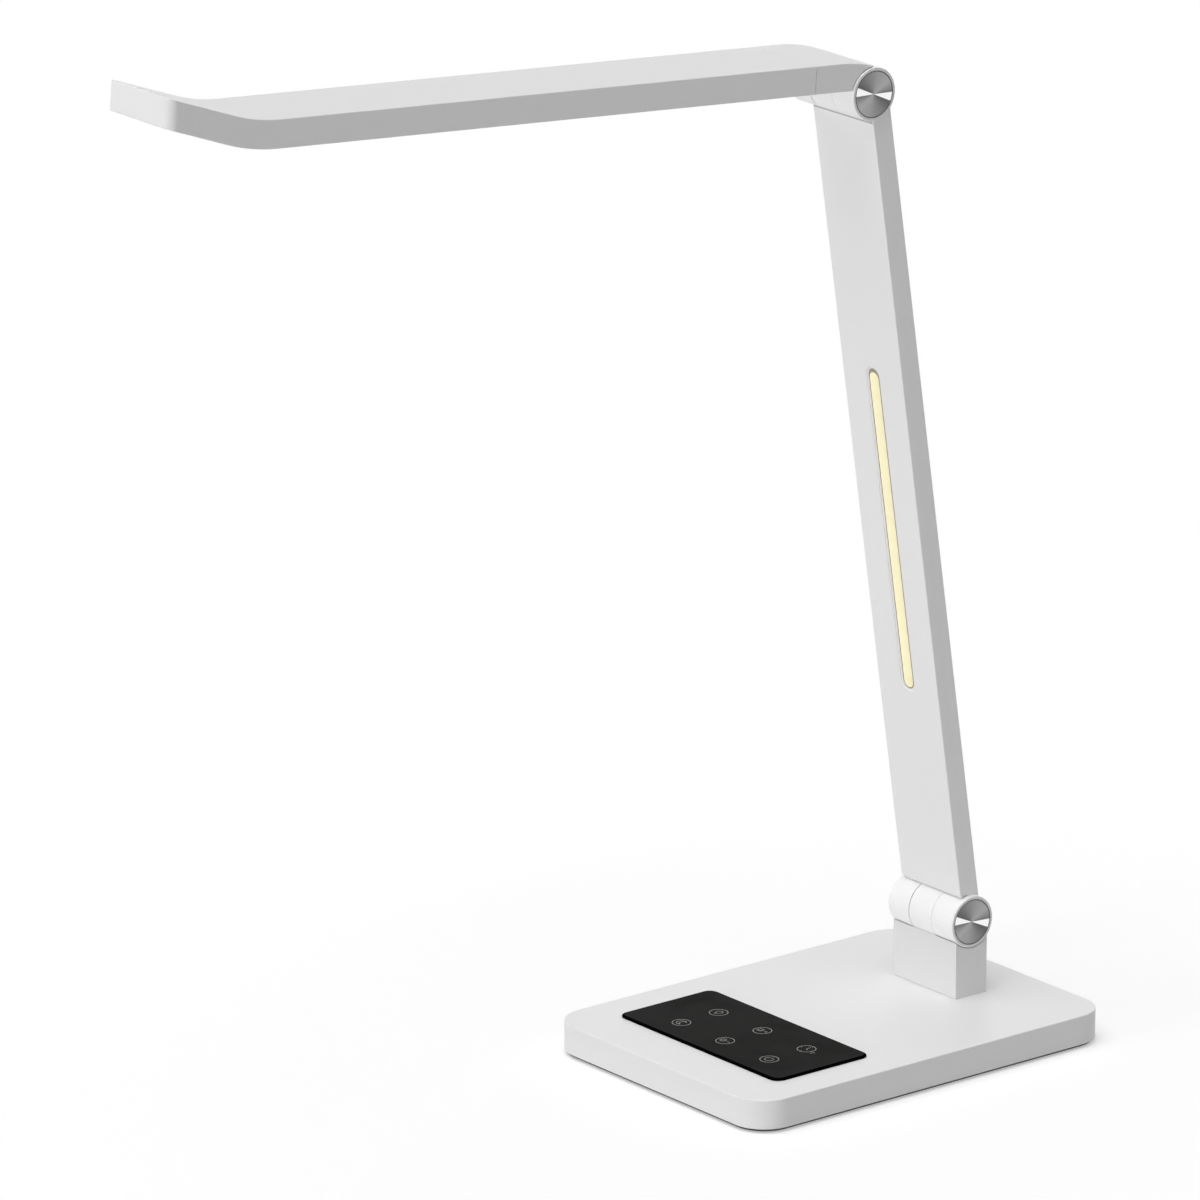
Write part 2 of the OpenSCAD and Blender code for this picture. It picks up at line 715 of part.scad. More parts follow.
module lower_fork() color(steel) at_arm_faces() fork(0);
module lower_shaft() at_arm_faces() shaft();
module lower_friction_washers() at_arm_faces() friction_washers();
module lower_spring_washers() at_arm_faces() spring_washers();
module lower_nut() at_arm_faces() nut();
module lower_caps() at_arm_faces() caps();
module lower_discs() at_arm_faces() discs();

module upper_fork() color(steel) at_upper_end() mirror([0, 0, 1]) fork(upper_y);
module upper_shaft() at_upper_end() shaft();
module upper_friction_washers() at_upper_end() friction_washers();
module upper_spring_washers() at_upper_end() spring_washers();
module upper_nut() at_upper_end() nut();
module upper_caps() at_upper_end() caps();
module upper_discs() at_upper_end() discs();

// Where the arm's screws and the slot go through a wall, along Y
module arm_screw_holes(r, y0, y1) {
    for (x = [-1, 1], z = arm_screw_z) translate([x * arm_screw_x, y0, z])
        rotate([-90, 0, 0]) cylinder(r = r, h = y1 - y0);
}

// A slot with round ends along the arm, from y0 to y1, grown by edge
module long_slot(edge, y0, y1) {
    r = slot_w / 2 + edge;
    translate([0, y1, 0]) rotate([90, 0, 0]) linear_extrude(y1 - y0) {
        translate([-r, slot_start + slot_w / 2]) square([2 * r, slot_len - slot_w]);
        translate([0, slot_start + slot_w / 2]) circle(r);
        translate([0, slot_end - slot_w / 2]) circle(r);
    }
}

module arm_front_shell() {
    half = arm_w / 2;
    color(white) at_arm_faces() difference() {
        union() {
            difference() {
                union() {
                    block([-half, half], [arm_front, arm_split], [neck_z, upper_z]);
                    block([-half + 0.6, half - 0.6], [arm_front + neck_step, arm_split], [0, neck_z]);
                }
                block([-arm_in_w / 2, arm_in_w / 2], [arm_in_front, arm_back],
                    [-big, upper_z + big]);
            }
            arm_screw_holes(arm_boss_r, arm_in_front - 0.2, arm_split);
        }
        bar_x(turn_r, -big, big);
        translate([0, upper_y, upper_z]) bar_x(turn_r, -big, big);
        block([-big, big], [-big, big], [upper_z, upper_z + big]);
        long_slot(0, arm_front - cut, arm_in_front + cut);
        long_slot(slot_rim, arm_front - cut, arm_front + slot_rim_depth);
        arm_screw_holes(screw_hole_r, arm_in_front, arm_split + cut);
    }
}

module arm_back_shell() {
    half = arm_w / 2;
    color(white) at_arm_faces() difference() {
        union() {
            difference() {
                block([-half, half], [arm_split, arm_back], [0, upper_z]);
                block([-arm_in_w / 2, arm_in_w / 2], [arm_split - cut, arm_in_back],
                    [barrel_r, upper_z - barrel_r]);
            }
            arm_screw_holes(arm_boss_r, arm_split, arm_in_back + 0.2);
            outer_knuckles();
            translate([0, upper_y, upper_z]) outer_knuckles();
        }
        knuckle_space();
        knuckle_bores();
        translate([0, upper_y, upper_z]) {
            knuckle_space();
            knuckle_bores();
        }
        both_sides() block([0, ear_end + 0.2], [arm_in_front, arm_in_back], [0, barrel_r + 1]);
        both_sides() block([0, ear_end + 0.2], [arm_in_front, arm_in_back],
            [upper_z - barrel_r - 1, upper_z]);
        for (z = [[5, barrel_r + 1], [upper_z - barrel_r - 1, upper_z - 5]]) both_sides()
            block([arm_cable_out - 2.5, arm_cable_out + 2.5],
                [arm_cable_lane - 1.5, arm_cable_lane + 1.5], z);
        arm_screw_holes(screw_hole_r, arm_split - cut, arm_back + cut);
        arm_screw_holes(screw_head_r - 0.4, arm_back - 1.2, arm_back + cut);
    }
}

module arm_screws() {
    color(steel) at_arm_faces() {
        arm_screw_holes(screw_r, arm_in_front + 0.4, arm_back - 1.2);
        arm_screw_holes(screw_head_r - 0.5, arm_back - 1.2, arm_back - 0.2);
    }
}

module arm_spine() {
    color(steel) at_arm_faces() difference() {
        block([-spine_w / 2, spine_w / 2], [fork_plate_back, fork_plate_back + spine_t],
            [spine_start, upper_z - spine_start]);
        for (z = [each spine_screw_z, each [for (s = spine_screw_z) upper_z - s]], x = [-1, 1])
            translate([x * 4.5, 0, z]) rotate([-90, 0, 0]) cylinder(r = screw_hole_r, h = arm_back);
    }
}

module spine_screws() {
    head_t = 0.9;
    color(dark) at_arm_faces()
        for (z = [each spine_screw_z, each [for (s = spine_screw_z) upper_z - s]], x = [-1, 1])
            translate([x * 4.5, fork_plate_front - head_t, z]) rotate([-90, 0, 0])
                screw_up(screw_r, screw_head_r - 0.4, head_t, 0, fork_plate_t + spine_t - 0.1);
}

module arm_cable() {
    turns = [[arm_cable_out, arm_cable_end], [arm_cable_out, arm_cable_turn],
        [arm_cable_out - arm_cable_r, arm_cable_turn + 6 * arm_cable_r],
        [arm_cable_x, arm_cable_turn + 13 * arm_cable_r], [arm_cable_x, upper_z * 0.3]];
    up = [for (t = turns) [t[0], arm_cable_lane, t[1]]];
    down = [for (i = [len(turns) - 1 : -1 : 0]) [turns[i][0], arm_cable_lane, upper_z - turns[i][1]]];
    color(black) at_arm_faces()
        wire(concat(up, [[arm_cable_x, arm_cable_lane, upper_z / 2]], down), arm_cable_r);
}

module night_light_diffuser() {
    color(warm) at_arm_faces() {
        long_slot(-fit_gap / 2, arm_front + diffuser_recess, arm_in_front + 0.1);
        long_slot(diffuser_flange_edge, arm_in_front, arm_in_front + diffuser_flange_t);
    }
}

module night_light_board() {
    color(pcb_white) at_arm_faces() block([-night_board_w / 2, night_board_w / 2],
        [night_board_y, night_board_y + night_board_t], [slot_start, slot_end]);
}

module night_light_leds() {
    pitch = (slot_len - 8) / (night_led_count - 1);
    color(warm) at_arm_faces() for (i = [0 : night_led_count - 1])
        block([-night_led_w / 2, night_led_w / 2], [night_led_y, night_board_y],
            [slot_start + 4 + i * pitch - 1.4, slot_start + 4 + i * pitch + 1.4]);
}

// ---------------------------------------------------------------- head, with its front along -Y

// Plan outline of the head to a given inset from its sides and its end
module head_plan(side, end) {
    half = head_w / 2 - side;
    r = max(tip_corner_r - end, 0.5);
    translate([-half, -head_len + end + r]) square([2 * half, head_len]);
    translate([-half + r, -head_len + end]) square([2 * half - 2 * r, r + cut]);
    for (x = [-1, 1]) translate([x * (half - r), -head_len + end + r]) circle(r);
}

// Point of the head's side outline at an angle round the bend, r from the bend's centre
function bend_point(r, angle) =
    [bend_start + r * sin(angle), head_low + bend_r - r * cos(angle)];

// The same point carried on along the straight tip by a distance
function tip_point(r, distance) =
    bend_point(r, bend_turn) + distance * [cos(bend_turn), sin(bend_turn)];

// Side outline of the long bar and its turned-up tip, between two heights above its underside
module head_side(low, high, start) {
    turns = [for (i = [0 : bend_steps]) i * bend_turn / bend_steps];
    polygon([
        [start, head_low + low], for (t = turns) bend_point(bend_r - low, t),
        tip_point(bend_r - low, head_len - bend_start), tip_point(bend_r - high, head_len - bend_start),
        for (i = [bend_steps : -1 : 0]) bend_point(bend_r - high, turns[i]),
        [start, head_low + high]
    ]);
}

// The long bar of the head inside that outline, narrowed and shortened by the insets
module head_bar(side, end, low, high, start) {
    half = head_w / 2 - side;
    intersection() {
        translate([-half, 0, 0]) rotate([90, 0, 90]) linear_extrude(2 * half)
            mirror([1, 0]) head_side(low, high, start);
        translate([0, 0, -big]) linear_extrude(2 * big) head_plan(side, end);
    }
}

// Side outline of the hinge cover: flat underside, flat top and the curve down to the barrel
module cover_side() {
    intersection() {
        translate([cover_lip, head_low]) square([head_seam - cover_lip, head_t]);
        union() {
            translate([head_curve_len, 0]) square([head_seam, head_high]);
            translate([head_curve_len, head_high - head_curve_r]) circle(head_curve_r, $fn = 256);
        }
    }
}

module head_hinge_cover() {
    half = head_w / 2;
    in_half = half - head_wall;
    color(white) at_head() difference() {
        union() {
            difference() {
                translate([-half, 0, 0]) rotate([90, 0, 90]) linear_extrude(2 * half)
                    mirror([1, 0]) cover_side();
                both_sides() bar_x(turn_r, knuckle_half, big);
            }
            bar_x(barrel_r, -knuckle_half, knuckle_half);
        }
        bar_x(knuckle_bore_r, -big, big);
        block([-in_half, in_half], [-head_seam - cut, -turn_r - head_wall],
            [head_low + head_wall, head_high - head_wall]);
        block([-post_stem_w / 2 - fit_gap, post_stem_w / 2 + fit_gap], [-turn_r - 3, 0],
            [lug_plate_z - 0.4, lug_r + 0.3]);
    }
}

module head_top_shell() {
    seam = head_seam + fit_gap;
    color(white) at_head() difference() {
        union() {
            difference() {
                head_bar(0, 0, 0, head_t, seam);
                head_bar(head_wall, head_wall, -cut, head_t - head_wall, seam - cut);
            }
            for (p = heat_screw_places) translate([p[0], p[1], heat_sink_z + heat_sink_t])
                cylinder(r = small_boss_r, h = head_high - head_wall - heat_sink_z - heat_sink_t + 0.3);
            for (p = lug_screw_places) translate([p[0], p[1], lug_r])
                cylinder(r = boss_r, h = head_high - head_wall - lug_r + 0.3);
        }
        for (p = heat_screw_places) translate([p[0], p[1], heat_sink_z])
            cylinder(r = small_hole_r, h = heat_sink_t + 2.4);
        for (p = lug_screw_places) translate([p[0], p[1], lug_plate_z])
            cylinder(r = screw_hole_r, h = lug_plate_t + 3.4);
    }
}

module head_bottom_bezel() {
    window_half = guide_w / 2 - window_margin + fit_gap;
    color(white_low) at_head() difference() {
        head_bar(head_wall + fit_gap, head_wall + fit_gap, 0, bezel_t, head_seam + fit_gap);
        block([-window_half, window_half],
            [-light_end + window_margin - fit_gap, -light_start - window_margin + fit_gap],
            [head_low - cut, head_low + bezel_t + cut]);
    }
}

module head_diffuser() {
    half = guide_w / 2;
    color(opal) at_head() {
        block([-half + window_margin, half - window_margin],
            [-light_end + window_margin, -light_start - window_margin],
            [head_low + 0.2, head_low + bezel_t + 0.1]);
        block([-half, half], [-light_end, -light_start],
            [head_low + bezel_t, head_low + bezel_t + diffuser_flange_up]);
    }
}

module light_guide() {
    color(clear) at_head() block([-guide_w / 2, guide_w / 2], [-light_end, -light_start],
        [guide_z, guide_z + guide_t]);
}

module reflector_sheet() {
    color(opal) at_head() block([-guide_w / 2, guide_w / 2], [-light_end, -light_start],
        [reflector_z, reflector_z + reflector_t]);
}

module heat_sink() {
    color(spun) at_head() difference() {
        block([-heat_sink_w / 2, heat_sink_w / 2], [-heat_sink_end, -heat_sink_start],
            [heat_sink_z, heat_sink_z + heat_sink_t]);
        for (p = heat_screw_places) translate([p[0], p[1], heat_sink_z - cut])
            cylinder(r = small_hole_r + 0.1, h = heat_sink_t + 2 * cut);
    }
}

module heat_sink_screws() {
    color(steel) at_head() for (p = heat_screw_places) translate([p[0], p[1], 0])
        screw_up(small_screw_r, small_head_r, small_head_h, heat_sink_z - small_head_h, heat_sink_t + 2);
}

module head_led_boards() {
    low = head_low + bezel_t + fit_gap;
    color(pcb_white) at_head() both_sides() block([led_board_x, led_board_x + led_board_t],
        [-light_end, -light_start], [low, low + led_board_h]);
}

module head_leds() {
    z = guide_z + guide_t / 2;
    color(warm) at_head() both_sides() for (i = [0 : led_count])
        block([led_board_x - led_t, led_board_x],
            [-light_start - led_len * 1.5 - i * led_pitch, -light_start - led_len / 2 - i * led_pitch],
            [z - led_h / 2, z + led_h / 2]);
}

module head_lug() {
    color(steel) at_head() difference() {
        union() {
            bar_x(lug_r, -lug_half, lug_half);
            block([-post_stem_w / 2, post_stem_w / 2], [-lug_plate_start - cut, 0],
                [lug_plate_z, lug_plate_z + lug_plate_t]);
            block([-lug_plate_w / 2, lug_plate_w / 2], [-lug_plate_end, -lug_plate_start],
                [lug_plate_z, lug_plate_z + lug_plate_t]);
        }
        bar_x(shaft_bore_r, -big, big);
        for (p = lug_screw_places) translate([p[0], p[1], lug_plate_z - cut])
            cylinder(r = screw_hole_r + 0.2, h = lug_plate_t + 2 * cut);
    }
}

module lug_screws() {
    color(steel) at_head() for (p = lug_screw_places) translate([p[0], p[1], 0])
        screw_up(screw_r, screw_head_r, screw_head_h, lug_plate_z - screw_head_h, lug_plate_t + 3);
}

module head_cable() {
    side = lug_plate_w / 2 + arm_cable_r + 1;
    color(black) at_head() wire([
        [10, -turn_r - head_wall - 1, 6], [side, -turn_r - head_wall - 8, 6], [side, -head_seam, 6],
        [side, -lug_plate_end, 6], [side, -light_start + 1.5, 6]
    ], arm_cable_r);
}

base_shell();
base_bottom_plate();
non_slip_pad();
base_screws();
counterweight();
touch_panel();
touch_board();
touch_springs();
touch_board_screws();
control_board();
control_components();
control_board_screws();
dc_jack();
base_harness();
pedestal();
pedestal_screws();
hinge_post();
post_screws();
arm_front_shell();
arm_back_shell();
arm_screws();
arm_spine();
spine_screws();
arm_cable();
night_light_diffuser();
night_light_board();
night_light_leds();
lower_fork();
lower_shaft();
lower_friction_washers();
lower_spring_washers();
lower_nut();
lower_caps();
lower_discs();
upper_fork();
upper_shaft();
upper_friction_washers();
upper_spring_washers();
upper_nut();
upper_caps();
upper_discs();
head_hinge_cover();
head_top_shell();
head_bottom_bezel();
head_diffuser();
light_guide();
reflector_sheet();
heat_sink();
heat_sink_screws();
head_led_boards();
head_leds();
head_lug();
lug_screws();
head_cable();
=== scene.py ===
"""Folding LED desk lamp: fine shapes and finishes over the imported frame.

Lengths in this file are in millimetres until a piece is placed. X runs across the lamp, -Y is
its front and Z is up, with the origin on the desk under the middle of the base.
"""
from math import atan, cos, hypot, pi, radians, sin

import bmesh
import bpy
from mathutils import Matrix, Vector


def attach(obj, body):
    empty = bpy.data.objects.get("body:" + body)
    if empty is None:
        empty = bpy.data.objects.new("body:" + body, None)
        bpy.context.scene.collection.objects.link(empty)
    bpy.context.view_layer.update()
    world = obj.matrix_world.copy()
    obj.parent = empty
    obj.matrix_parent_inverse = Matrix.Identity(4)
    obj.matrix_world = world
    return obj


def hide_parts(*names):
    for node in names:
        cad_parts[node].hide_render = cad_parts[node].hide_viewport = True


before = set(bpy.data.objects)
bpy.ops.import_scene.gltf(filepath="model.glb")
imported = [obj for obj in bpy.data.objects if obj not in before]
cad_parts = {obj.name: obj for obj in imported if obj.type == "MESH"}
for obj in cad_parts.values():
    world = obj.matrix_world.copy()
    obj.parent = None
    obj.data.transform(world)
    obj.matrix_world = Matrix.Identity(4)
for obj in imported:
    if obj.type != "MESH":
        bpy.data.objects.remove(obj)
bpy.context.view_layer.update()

# ---------------- sizes of the lamp

# Base: the casing, the plate and pad under it, and what its screws hold
BASE_W, BASE_D, BASE_TOP, BASE_LOW, BASE_CORNER = 144.6, 200, 15.3, 1.9, 16
PLATE_LOW, PLATE_INSET = 0.6, 1.4
PAD_W, PAD_D, PAD_CORNER, PAD_TOP = 118, 164.4, 8, 1.2
CEILING, BOARD_Z, BOARD_T = 12.7, 9.9, 1.6
CONTROL_W, CONTROL_D, CONTROL_Y, CONTROL_TOP = 70, 22, -7.3, 8.1
FLANGE_W, FLANGE_D, FLANGE_TOP = 37, 30, 10.9
JACK_X, JACK_Z, JACK_RIM = 46, 8.1, 5
# Touch panel and its keys
PANEL_W, PANEL_D, PANEL_CORNER, PANEL_Y = 108, 51.5, 4, -49.25
PANEL_LOW, PANEL_TOP, PANEL_GAP = 14.5, 16.5, 0.2
KEY_X, KEY_Y, KEY_PITCH_X, KEY_PITCH_Y = 2, -50.75, 30.2, 21
# Pedestal and hinges
AXIS_Y, AXIS_Z = 62.8, 49.7
PEDESTAL_W, PEDESTAL_D = 43, 18
BARREL_R, KNUCKLE_HALF, BARREL_HALF, CAP_END, DISC_R = 11.8, 7.5, 20.9, 21.8, 10.2
# Arm, whose front face is a little nearer to the upper axis than to the lower one
ARM_LEN, ARM_LEAN, ARM_W, ARM_BACK = 390.4, 8.85, 40, 6.75
ARM_FRONT, ARM_FRONT_HIGH = -3.65, -1
NECK_Z = BARREL_R + 1.4
ARM_SLANT = atan((ARM_FRONT_HIGH - ARM_FRONT) / ARM_LEN)
UPPER_Y, UPPER_Z = -ARM_LEN * sin(ARM_SLANT), ARM_LEN * cos(ARM_SLANT)
# Night light
SLOT_R, SLOT_START, SLOT_END, SLOT_RIM, SLOT_RIM_DEPTH = 3.6, 107.9, 259.1, 0.9, 0.5
NIGHT_LEDS, NIGHT_LED_MARGIN, NIGHT_BOARD_Y = 18, 4, -0.15
# Head
HEAD_PITCH, HEAD_W, HEAD_LOW, HEAD_END, TIP_CORNER = 4.8, 42.6, 2.2, -375.4, 5
WINDOW_HALF, WINDOW_END, WINDOW_START = 16, -312, -74
HEAD_LEDS, HEAD_LED_PITCH, HEAD_LED_X, HEAD_LED_START, HEAD_LED_Z = 24, 9.6, 18.3, -79, 6.05


def shift(x, y, z):
    return Matrix.Translation((x, y, z))


def turn_x(angle):
    return Matrix.Rotation(angle, 4, "X")


AT_DESK = Matrix.Identity(4)
AT_LOWER = shift(0, AXIS_Y, AXIS_Z)
AT_ARM_LINE = AT_LOWER @ turn_x(radians(ARM_LEAN))
AT_ARM = AT_ARM_LINE @ turn_x(-ARM_SLANT)
AT_UPPER = AT_ARM @ shift(0, UPPER_Y, UPPER_Z)
AT_HEAD = AT_ARM_LINE @ shift(0, 0, ARM_LEN) @ turn_x(-radians(ARM_LEAN + HEAD_PITCH))
TO_METRES = Matrix.Scale(0.001, 4)
# A place for pieces: its frame, and the body that they ride on
ON_DESK, ON_PEDESTAL = (AT_DESK, "base"), (AT_LOWER, "base")
ON_ARM, ON_HEAD = (AT_ARM, "arm"), (AT_HEAD, "head")
UP, DOWN, BACK, FORWARD, LEFT = (0, 0, 1), (0, 0, -1), (0, 1, 0), (0, -1, 0), (-1, 0, 0)

# ---------------- nodes, for shaders and shapes

FLOAT, COLOR, VECTOR = "NodeSocketFloat", "NodeSocketColor", "NodeSocketVector"
GEOMETRY, MATERIAL = "NodeSocketGeometry", "NodeSocketMaterial"
FINISH = {"Color": COLOR, "Roughness": FLOAT, "Height": FLOAT}


def feed(tree, sockets, values):
    """Gives each named socket a value, another node's output, or each output of a list."""
    for key, value in values.items():
        for item in value if isinstance(value, list) else [value]:
            if isinstance(item, bpy.types.NodeSocket):
                tree.links.new(item, sockets[key])
            else:
                sockets[key].default_value = item


def add(tree, kind, inputs=None, **settings):
    """A node with its settings and its inputs."""
    made = tree.nodes.new(kind)
    for name, value in settings.items():
        setattr(made, name, value)
    feed(tree, made.inputs, inputs or {})
    return made


def new_group(name, kind, inputs, outputs):
    """A node group: each input has its default or its type, and each output its type."""
    tree = bpy.data.node_groups.new(name, kind)
    for key, value in inputs.items():
        needed = FLOAT if isinstance(value, float) else {3: VECTOR, 4: COLOR}.get(len(value), value)
        socket = tree.interface.new_socket(key, in_out="INPUT", socket_type=needed)
        if needed != value:
            socket.default_value = value
    for key, needed in outputs.items():
        tree.interface.new_socket(key, in_out="OUTPUT", socket_type=needed)
    return tree, tree.nodes.new("NodeGroupInput").outputs, tree.nodes.new("NodeGroupOutput").inputs


def maths(tree, operation, first, second=0.0, clamp=False):
    return add(tree, "ShaderNodeMath", {0: first, 1: second},
               operation=operation, use_clamp=clamp).outputs[0]


def plus(tree, first, second, clamp=False):
    return maths(tree, "ADD", first, second, clamp)


def minus(tree, first, second):
    return maths(tree, "SUBTRACT", first, second)


def times(tree, first, second):
    return maths(tree, "MULTIPLY", first, second)


def over(tree, first, second):
    return maths(tree, "DIVIDE", first, second)


def vector(tree, x=0.0, y=0.0, z=0.0):
    return add(tree, "ShaderNodeCombineXYZ", {"X": x, "Y": y, "Z": z}).outputs[0]


def parts_of(tree, place):
    return add(tree, "ShaderNodeSeparateXYZ", {"Vector": place}).outputs


def multiplied(tree, place, factors):
    return add(tree, "ShaderNodeVectorMath", {0: place, 1: factors}, operation="MULTIPLY").outputs[0]


def remap(tree, value, low, high, to_low, to_high):
    return add(tree, "ShaderNodeMapRange", {"Value": value, "From Min": low, "From Max": high,
                                            "To Min": to_low, "To Max": to_high}).outputs["Result"]


def object_place(tree):
    return add(tree, "ShaderNodeTexCoord").outputs["Object"]


def noise(tree, place, scale, detail=2.0, roughness=0.5, distortion=0.0):
    return add(tree, "ShaderNodeTexNoise", {
        "Vector": place, "Scale": scale, "Detail": detail, "Roughness": roughness,
        "Distortion": distortion}).outputs["Fac"]


def mixed(tree, factor, first, second, blend="MIX"):
    """A colour between two colours, which are the colour mix's inputs 6 and 7."""
    return add(tree, "ShaderNodeMix", {0: factor, 6: first, 7: second},
               data_type="RGBA", blend_type=blend).outputs[2]


def swing(tree, pattern, amount):
    """A pattern of 0 to 1, as a change to both sides of zero."""
    return times(tree, minus(tree, pattern, 0.5), amount)


def tinted(tree, color, change):
    """A colour made lighter or darker by a share of itself."""
    return add(tree, "ShaderNodeVectorMath", {0: color, "Scale": plus(tree, 1.0, change)},
               operation="SCALE").outputs[0]

# ---------------- shared surface effects


def moulded_grain_group():
    """The fine spark-eroded grain of a moulded face, with a slow change of gloss and shade."""
    tree, given, result = new_group(
        "Moulded grain", "ShaderNodeTree",
        {"Color": (0.8, 0.8, 0.8, 1), "Grain Size": 0.0004, "Shade Change": 0.02,
         "Roughness": 0.3, "Gloss Change": 0.05}, FINISH)
    place = object_place(tree)
    grain = noise(tree, place, over(tree, 1.0, given["Grain Size"]), 3.0, 0.6)
    slow = noise(tree, place, 14.0, 4.0, 0.55)
    shade_change = plus(tree, swing(tree, slow, given["Shade Change"]),
                        swing(tree, grain, times(tree, given["Shade Change"], 0.5)))
    gloss_change = plus(tree, swing(tree, slow, given["Gloss Change"]),
                        swing(tree, grain, given["Gloss Change"]))
    feed(tree, result, {"Color": tinted(tree, given["Color"], shade_change),
                        "Roughness": plus(tree, given["Roughness"], gloss_change, clamp=True),
                        "Height": grain})
    return tree


def rolled_metal_group():
    """Drawn or rolled metal: fine lines along one direction and cloudy plating."""
    tree, given, result = new_group(
        "Rolled metal", "ShaderNodeTree",
        {"Color": (0.6, 0.6, 0.6, 1), "Stretch": (1, 1, 1), "Line Size": 0.0003, "Cloud": 0.12,
         "Roughness": 0.3}, FINISH)
    place = object_place(tree)
    lines = noise(tree, multiplied(tree, place, given["Stretch"]),
                  over(tree, 1.0, given["Line Size"]))
    cloud = noise(tree, place, 180.0, 5.0, 0.6)
    feed(tree, result, {
        "Color": tinted(tree, given["Color"], swing(tree, cloud, given["Cloud"])),
        "Roughness": plus(tree, given["Roughness"], swing(tree, lines, 0.25), clamp=True),
        "Height": lines})
    return tree


def smears_group():
    """Faint smears left by handling, as a change of gloss."""
    tree, given, result = new_group("Handling smears", "ShaderNodeTree", {
        "Roughness": 0.2, "Amount": 0.15}, {"Roughness": FLOAT})
    bent = noise(tree, object_place(tree), 35.0, 3.0, distortion=1.2)
    smear = times(tree, remap(tree, bent, 0.45, 0.75, 0.0, 1.0), given["Amount"])
    feed(tree, result, {"Roughness": plus(tree, given["Roughness"], smear, clamp=True)})
    return tree


MOULDED_GRAIN = moulded_grain_group()
ROLLED_METAL = rolled_metal_group()
HANDLING_SMEARS = smears_group()

# ---------------- materials


def new_material(name, shown, **sockets):
    """A material with one Principled shader, its constants on the shader's own sockets."""
    made = bpy.data.materials.new(name)
    made.use_nodes = True
    made.diffuse_color = (*shown, 1)
    tree = made.node_tree
    shader = tree.nodes["Principled BSDF"].inputs
    feed(tree, shader, {key.replace("_", " "): value for key, value in sockets.items()})
    return made, tree, shader


def effect(tree, group, inputs):
    return add(tree, "ShaderNodeGroup", inputs, node_tree=group).outputs


def surface(tree, shader, color, height, depth, strength=1.0, **sockets):
    """Feeds a shader's colour, a relief whose depth is in metres, and other sockets."""
    relief = add(tree, "ShaderNodeBump", {"Height": height, "Strength": strength, "Distance": depth})
    feed(tree, shader, {"Base Color": color, "Normal": relief.outputs[0], **sockets})


def plastic(name, color, roughness, grain=0.0004, depth=0.000006, shade=0.02, gloss=0.05, **sockets):
    """A moulded plastic with its grain; its colour may be one level of grey."""
    color = (color,) * 3 if isinstance(color, float) else color
    made, tree, shader = new_material(name, color, **sockets)
    grained = effect(tree, MOULDED_GRAIN, {
        "Color": (*color, 1), "Grain Size": grain, "Shade Change": shade,
        "Roughness": roughness, "Gloss Change": gloss})
    surface(tree, shader, grained["Color"], grained["Height"], depth, Roughness=grained["Roughness"])
    return made


def white(name, level, roughness, reflection):
    """A moulded plastic of a neutral white, as the lamp's outer parts have."""
    return plastic(name, level, roughness, shade=0.012, Specular_IOR_Level=reflection)


def metal(name, color, roughness, stretch=(1, 1, 1), lines=0.0003, cloud=0.12, depth=0.000004):
    """A rolled, drawn or plated metal."""
    made, tree, shader = new_material(name, color, Metallic=1.0)
    drawn = effect(tree, ROLLED_METAL, {
        "Color": (*color, 1), "Stretch": stretch, "Line Size": lines, "Cloud": cloud,
        "Roughness": roughness})
    surface(tree, shader, drawn["Color"], drawn["Height"], depth, Roughness=drawn["Roughness"])
    return made


# A painted reflection on a spun face, as light and dark fans by angle: (share of a half turn,
# level), and its middle in degrees below the level.
PAINTED_FANS = ((0.055, 1), (0.07, 0.16), (0.12, 0.24), (0.25, 0.36), (0.5, 0.32), (0.75, 0.21),
       (0.9, 0.13), (0.931, 0.12), (0.945, 1))
PAINTED_FANS_MIDDLE = 22.3
FULL_WHITE = (1, 1, 1, 1)


def spun_metal():
    """Spun stainless steel: fine rings round the middle, under a painted reflection of light and
    dark fans.
    """
    made, tree, shader = new_material("spun_steel_painted_fans", (0.6, 0.6, 0.6), Metallic=1.0, Anisotropic=0.75)
    turning = parts_of(tree, add(tree, "ShaderNodeUVMap", uv_map="turning").outputs["UV"])
    half_turns = maths(tree, "FRACT", plus(tree, times(tree, turning["X"], 2.0), PAINTED_FANS_MIDDLE / 180))
    # Painted reflection: the fans' light and dark levels by angle round the middle
    painted_fans = add(tree, "ShaderNodeValToRGB", {"Fac": half_turns})
    ramp = painted_fans.color_ramp
    ramp.elements[0].color = ramp.elements[1].color = FULL_WHITE
    for place, level in PAINTED_FANS:
        ramp.elements.new(place).color = (level, level, level, 1)
    rings = noise(tree, vector(tree, turning["Y"]), 70.0, 4.0, 0.7)
    painted_fans_and_rings = mixed(tree, 0.35, painted_fans.outputs["Color"],
                     mixed(tree, rings, (0.55, 0.55, 0.55, 1), FULL_WHITE), blend="MULTIPLY")
    tangent = add(tree, "ShaderNodeTangent", direction_type="UV_MAP", uv_map="turning").outputs[0]
    surface(tree, shader, painted_fans_and_rings, rings, 0.000003, Tangent=tangent,
            Roughness=remap(tree, rings, 0.3, 0.7, 0.2, 0.34))
    return made


def black_panel():
    """The touch panel: black acrylic with a soft sheen and faint smears."""
    color = (0.0085, 0.0083, 0.0079)
    made, tree, shader = new_material("black_acrylic", color, Specular_IOR_Level=0.008)
    grained = effect(tree, MOULDED_GRAIN, {
        "Color": (*color, 1), "Grain Size": 0.0009, "Shade Change": 0.08,
        "Roughness": 0.3, "Gloss Change": 0.04})
    smeared = effect(tree, HANDLING_SMEARS, {"Roughness": grained["Roughness"], "Amount": 0.14})
    surface(tree, shader, grained["Color"], grained["Height"], 0.0000015,
            Roughness=smeared["Roughness"])
    return made


